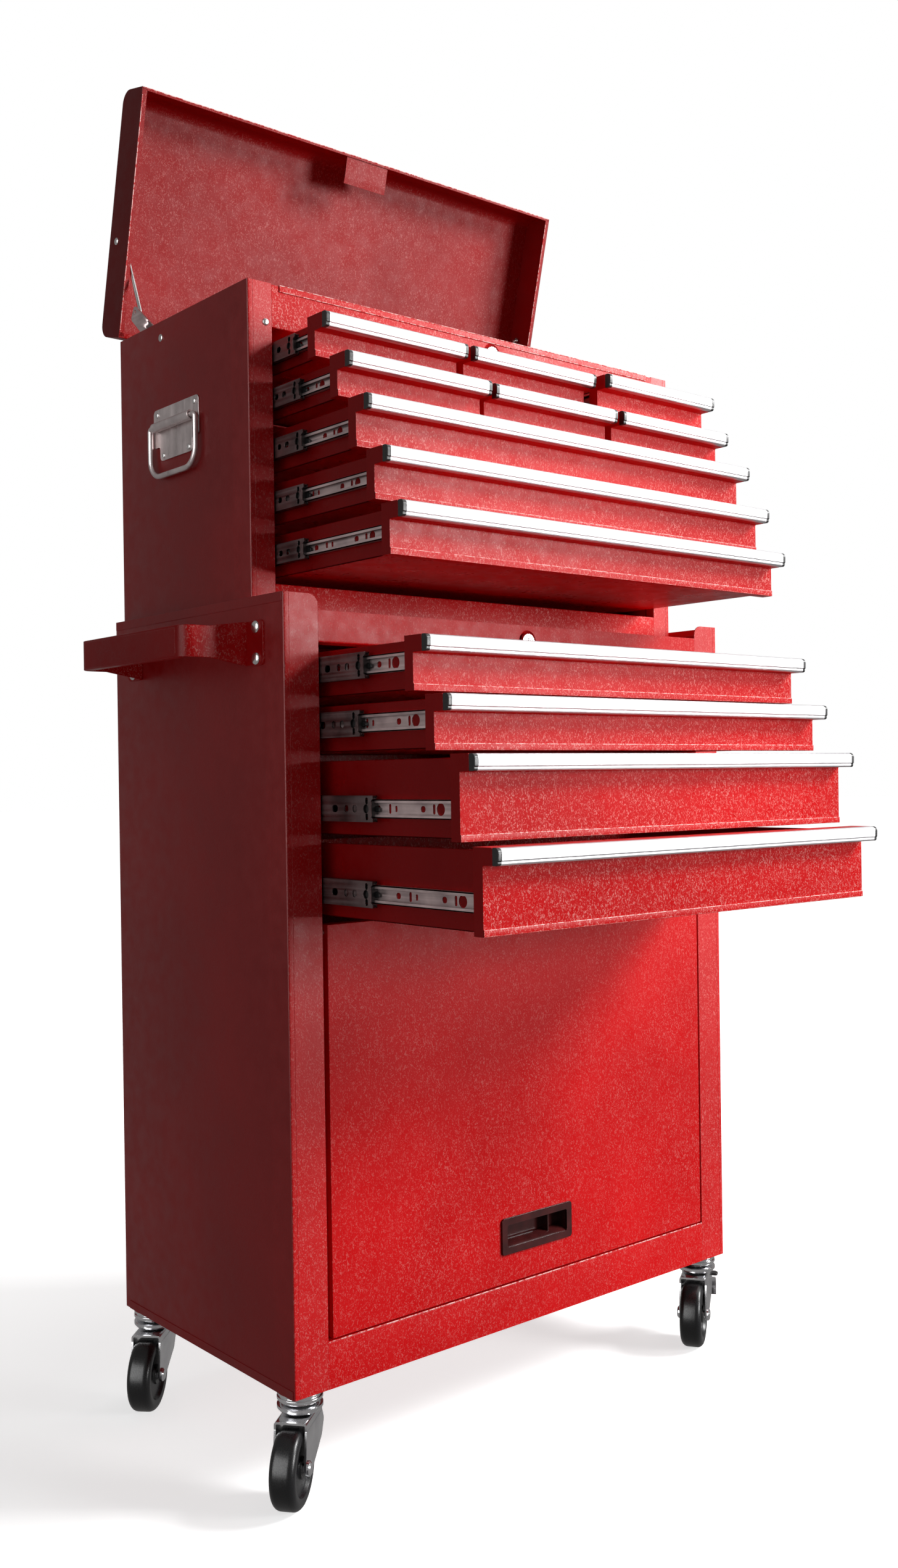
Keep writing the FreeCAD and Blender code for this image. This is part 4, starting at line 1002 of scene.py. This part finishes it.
# ---- fasteners
def fasteners():
    """Bolts, rivets and the stays' pins."""
    shape = Shape()
    handle_low, handle_high = cab_box("push_handle")
    push_x = CABINET_LOW.x - 2.0
    for y in (handle_low.y + 12.0, handle_high.y - 12.0):
        for z in (handle_low.z + 6.5, handle_high.z - 6.5):
            shape.dome((push_x, y, z), (-1, 0, 0), 6.0, 3.0)
    plate_low, plate_high = cab_box("carry_handle_plates")
    centre = (plate_low.y + plate_high.y) / 2.0
    stay = joint_at("lid_stay_link_pivot")
    half = CHEST_HIGH.x
    rail_rivet_z = 1018.0
    stay_pin_x = 295.5
    for side in (-1, 1):
        plate = side * (half + 1.5)
        for offset, z in ((38.0, plate_high.z - 6.0), (26.0, plate_low.z + 5.0)):
            for y in (centre - offset, centre + offset):
                shape.dome((plate, y, z), (side, 0, 0), 3.0, 1.5)
        shape.dome((side * half, stay.y, stay.z), (side, 0, 0), 4.0, 1.6)
        shape.dome((side * (CHEST_OPENING + 7.0), CHEST_LOW.y, rail_rivet_z), (0, -1, 0), 3.5, 1.5)
        inner = side * stay_pin_x
        wall = side * (half - SHEET)
        shape.lathe([(0, -1.5), (4, -1.5), (4, 0), (2, 0), (2, abs(wall - inner)),
                     (0, abs(wall - inner))], (inner, stay.y, stay.z), (side, 0, 0), 20)
    shape.piece("bolts_and_rivets", "cabinet", [BRIGHT], "bright_steel", ["fasteners"], edge=0.15)
    lid_rivets = Shape()
    top = joint_at("lid_stay_rod_pivot")
    for side in (-1, 1):
        lid_rivets.dome((side * half, top.y, top.z), (side, 0, 0), 4.0, 1.6)
    lid_rivets.piece("lid_rivets", "lid", [BRIGHT], "bright_steel", edge=0.15)


# ---- casters
WHEEL_RADIUS = 37.5
LEG_INNER = 14.0


def caster(name):
    """Fork, wheel and, on the right-hand side, the brake of one caster."""
    swivel = joint_at("caster_swivel_" + name)
    axle = joint_at("caster_axle_" + name)
    forward = (swivel - axle).xy
    trail = forward.length
    heading = (Matrix.Translation((swivel.x, swivel.y, 0.0))
               @ Matrix.Rotation(math.atan2(forward.y, forward.x), 4, "Z"))
    fork = Shape()
    fork.lathe([(6.3, -12.2), (19.5, -12.2), (22.0, -13.4), (22.0, -16.2), (20.0, -18.6),
                (6.3, -18.6)], (0, 0, 0), (0, 0, 1), 56)
    outer = LEG_INNER + 2.0
    crown = rounded([(-outer, -28.0, 0), (-outer, -20.0, 3.0), (outer, -20.0, 3.0),
                     (outer, -28.0, 0)], closed=False)
    fork.prism(strip_outline(crown, -2.0), "x", -32.0, 19.0)
    leg = rounded([(-32, -27.0, 0.5), (19, -27.0, 0.5), (25.0, -38, 6), (17, -51, 9),
                   (-18, axle.z - 8.0, 9), (-37.0, axle.z - 6.0, 9)], steps=7)
    for sign in (-1, 1):
        fork.plate(leg, [circle(-trail, axle.z, 4.2, 28)], "y", sign * LEG_INNER, sign * outer)
        fork.lathe([(0, 0), (7.0, 0), (7.0, 1.6), (5.2, 3.0), (0, 3.0)],
                   (-trail, sign * outer, axle.z), (0, sign, 0), 28)
    fork.lathe([(0, -outer), (4.0, -outer), (4.0, outer), (0, outer)], (-trail, 0, axle.z),
               (0, 1, 0), 24)
    fork.transform(heading)
    fork.piece("fork_" + name, "caster_fork_" + name, [CHROME], "chrome", ["caster_fork_" + name],
               edge=0.5)

    half = 12.5
    tread = 7.0
    near = [(4.2, half - 1.0), (9.5, half - 1.0), (10.2, half - 3.2), (24.0, half - 3.6),
            (26.0, half - 0.6)]
    near += arc(WHEEL_RADIUS - tread, half - tread, tread, 90.0, 0.0, 6)
    profile = near + [(radius, -place) for radius, place in near[::-1]]
    wheel = Shape()
    wheel.lathe(profile, (-trail, 0, axle.z), (0, 1, 0), 72)
    wheel.transform(heading)
    wheel.piece("wheel_" + name, "caster_wheel_" + name, [RUBBER], "black_rubber",
                ["caster_wheel_" + name], edge=0.3)
    if "caster_brake_" + name in frame["nodes"]:
        caster_brake(name, heading)


def caster_brake(name, heading):
    """A rocker: pressed lever with a black pad on top and a lower release tab."""
    pivot_u, pivot_z = 20.0, -42.0
    lever = Shape()
    lever.lathe([(0, -13.7), (4.8, -13.7), (4.8, 13.7), (0, 13.7)], (pivot_u, 0, pivot_z),
                (0, 1, 0), 24)
    arm = strip_outline(rounded([(pivot_u, pivot_z + 3.2, 0), (pivot_u + 8.5, pivot_z + 5.4, 4),
                                 (pivot_u + 19.5, pivot_z + 7.0, 0)], closed=False), -1.8)
    lever.prism(arm, "y", -13.0, 13.0)
    drop = strip_outline(rounded([(pivot_u + 7.6, pivot_z + 5.4, 0), (pivot_u + 9.6, pivot_z - 5.0, 8),
                                  (pivot_u + 8.4, pivot_z - 16.0, 0)], closed=False), -1.8)
    lever.prism(drop, "y", -20.0, 20.0)
    lever.transform(heading)
    lever.piece("brake_lever_" + name, "caster_brake_" + name, [CHROME], "chrome",
                ["caster_brake_" + name], edge=0.4)
    pad = Shape()
    outline = rounded([(pivot_u + 9.0, -21.5, 3), (pivot_u + 20.0, -21.5, 5),
                       (pivot_u + 20.0, 21.5, 5), (pivot_u + 9.0, 21.5, 3)])
    pad.prism(outline, "z", pivot_z + 6.0, pivot_z + 9.0)
    pad.transform(heading)
    pad.piece("brake_pad_" + name, "caster_brake_" + name, [PLASTIC], "black_plastic", edge=0.8)


def casters():
    stems = Shape()
    for name in ("front_left", "front_right", "rear_left", "rear_right"):
        caster(name)
        swivel = joint_at("caster_swivel_" + name)
        stems.lathe([(0, 0.5), (6, 0.5), (6, 0.0), (20.5, 0.0), (22.0, -1.2), (22.0, -2.6),
                     (20.4, -3.4), (20.4, -4.4), (22.0, -5.4), (22.0, -8.0), (20.6, -9.6),
                     (18.0, -10.0), (9.0, -10.0), (9.0, -12.0), (5.9, -12.0), (5.9, -20.5),
                     (9.0, -20.6), (9.0, -24.0), (0, -24.0)], (swivel.x, swivel.y, 0.0),
                    (0, 0, 1), 56)
        stems.lathe([(0, 24.0), (5.0, 24.0), (6.0, 23.0), (6.0, 0.4), (0, 0.4)],
                    (swivel.x, swivel.y, 0.0), (0, 0, 1), 28)
    stems.piece("stem_cups", "cabinet", [CHROME], "chrome", ["caster_stems"], edge=0.25)


# ---- staging
def kept_nodes():
    """Finishes of the CAD nodes that are shown as they are."""
    finishes = {"cabinet_deck": DOOR_PAINT, "cabinet_floor": SMOOTH_PAINT,
                "chest_inner_panels": SMOOTH_PAINT, "slide_posts": SMOOTH_PAINT}
    for name, material in finishes.items():
        data = frame["nodes"][name].data
        data.materials.clear()
        data.materials.append(material)


def area_light(name, place, target, size, power):
    light = bpy.data.lights.new(name, "AREA")
    light.shape = "RECTANGLE"
    light.size, light.size_y = size
    light.energy = power
    item = bpy.data.objects.new(name, light)
    item.location = place
    direction = Vector(target) - Vector(place)
    item.rotation_euler = direction.to_track_quat("-Z", "Y").to_euler()
    bpy.context.scene.collection.objects.link(item)
    return item


def studio():
    """Pale glowing floor, soft lights and a dim surround that shows white behind the object."""
    reach = 30.0
    data = bpy.data.meshes.new("floor")
    data.from_pydata([(-reach, -reach, 0), (reach, -reach, 0), (reach, reach, 0), (-reach, reach, 0)],
                     [], [(0, 1, 2, 3)])
    floor = bpy.data.objects.new("floor", data)
    floor.location.z = cad_box[0][2]
    material, tree, shader = principled("glowing_floor", 0.9, 0.0)
    # The floor glows, less near the object and fully white far out: painted light that lets the lamps'
    # shadows show near the object and hides the horizon.
    place = add(tree, "ShaderNodeNewGeometry").outputs["Position"]
    distance = add(tree, "ShaderNodeVectorMath", {0: place}, operation="LENGTH").outputs["Value"]
    feed(shader, {"Base Color": (0.93, 0.93, 0.93, 1.0), "Specular IOR Level": 0.0,
                  "Emission Color": (1.0, 1.0, 1.0, 1.0),
                  "Emission Strength": remap(tree, distance, 0.5, 2.4, 0.66, 1.05)})
    data.materials.append(material)
    bpy.context.scene.collection.objects.link(floor)
    floor.visible_diffuse = False
    floor.visible_glossy = False

    world = bpy.data.worlds.new("surround")
    bpy.context.scene.world = world
    world.use_nodes = True
    tree = world.node_tree
    dim = tree.nodes["Background"]
    white = add(tree, "ShaderNodeBackground", {"Color": (1.0, 1.0, 1.0, 1.0), "Strength": 1.0})
    seen = add(tree, "ShaderNodeLightPath")
    mirrored = remap(tree, seen.outputs["Is Glossy Ray"], 0.0, 1.0, 0.11, 0.25)
    feed(dim, {"Color": (1.0, 0.97, 0.96, 1.0), "Strength": mirrored})
    chosen = add(tree, "ShaderNodeMixShader", {0: seen.outputs["Is Camera Ray"],
                                               1: dim.outputs[0], 2: white.outputs[0]})
    feed(tree.nodes["World Output"], {0: chosen.outputs[0]})

    middle = (ORIGIN.x, ORIGIN.y, 0.7)
    area_light("key", (3.0, -2.3, 2.7), middle, (1.2, 1.2), 180.0)
    area_light("front_fill", (2.3, -3.3, 0.95), middle, (1.2, 1.2), 92.0)
    area_light("overhead", (1.5, -0.2, 3.2), (0.2, 0.0, 0.0), (1.6, 3.0), 24.0)
    sheen = area_light("side_sheen", (-3.0, -0.6, 1.3), middle, (2.6, 2.6), 90.0)
    sheen.visible_diffuse = False


def camera():
    """The photograph's viewpoint, given from the cabinet's front left floor corner."""
    eye = ORIGIN + Vector((-1050.0, -1117.3, 576.0)) * MM
    right = Vector((0.7655, -0.6432, -0.0140)).normalized()
    forward = Vector((0.6432, 0.7657, -0.0054)).normalized()
    up = right.cross(forward).normalized()
    rotation = Matrix((right, up, -forward)).transposed()
    data = bpy.data.cameras.new("camera")
    data.sensor_fit = "VERTICAL"
    data.sensor_height = 36.0
    data.lens = 33.206
    item = bpy.data.objects.new("camera", data)
    item.matrix_world = Matrix.Translation(eye) @ rotation.to_4x4()
    bpy.context.scene.collection.objects.link(item)
    bpy.context.scene.camera = item


camera()
studio()
kept_nodes()
cabinet_body()
chest_body()
front_rails()
all_drawers()
lid_pan()
lid_strike()
lid_hinge()
lid_stays()
door_panel()
door_cup()
lock("cabinet_lock", CABINET_LOW.y, 22.0, 15.0)
lock("chest_lock", CHEST_LOW.y, 12.0, 20.0)
push_handle()
carry_handles()
fasteners()
casters()

scene = bpy.context.scene
scene.view_settings.view_transform = "Standard"
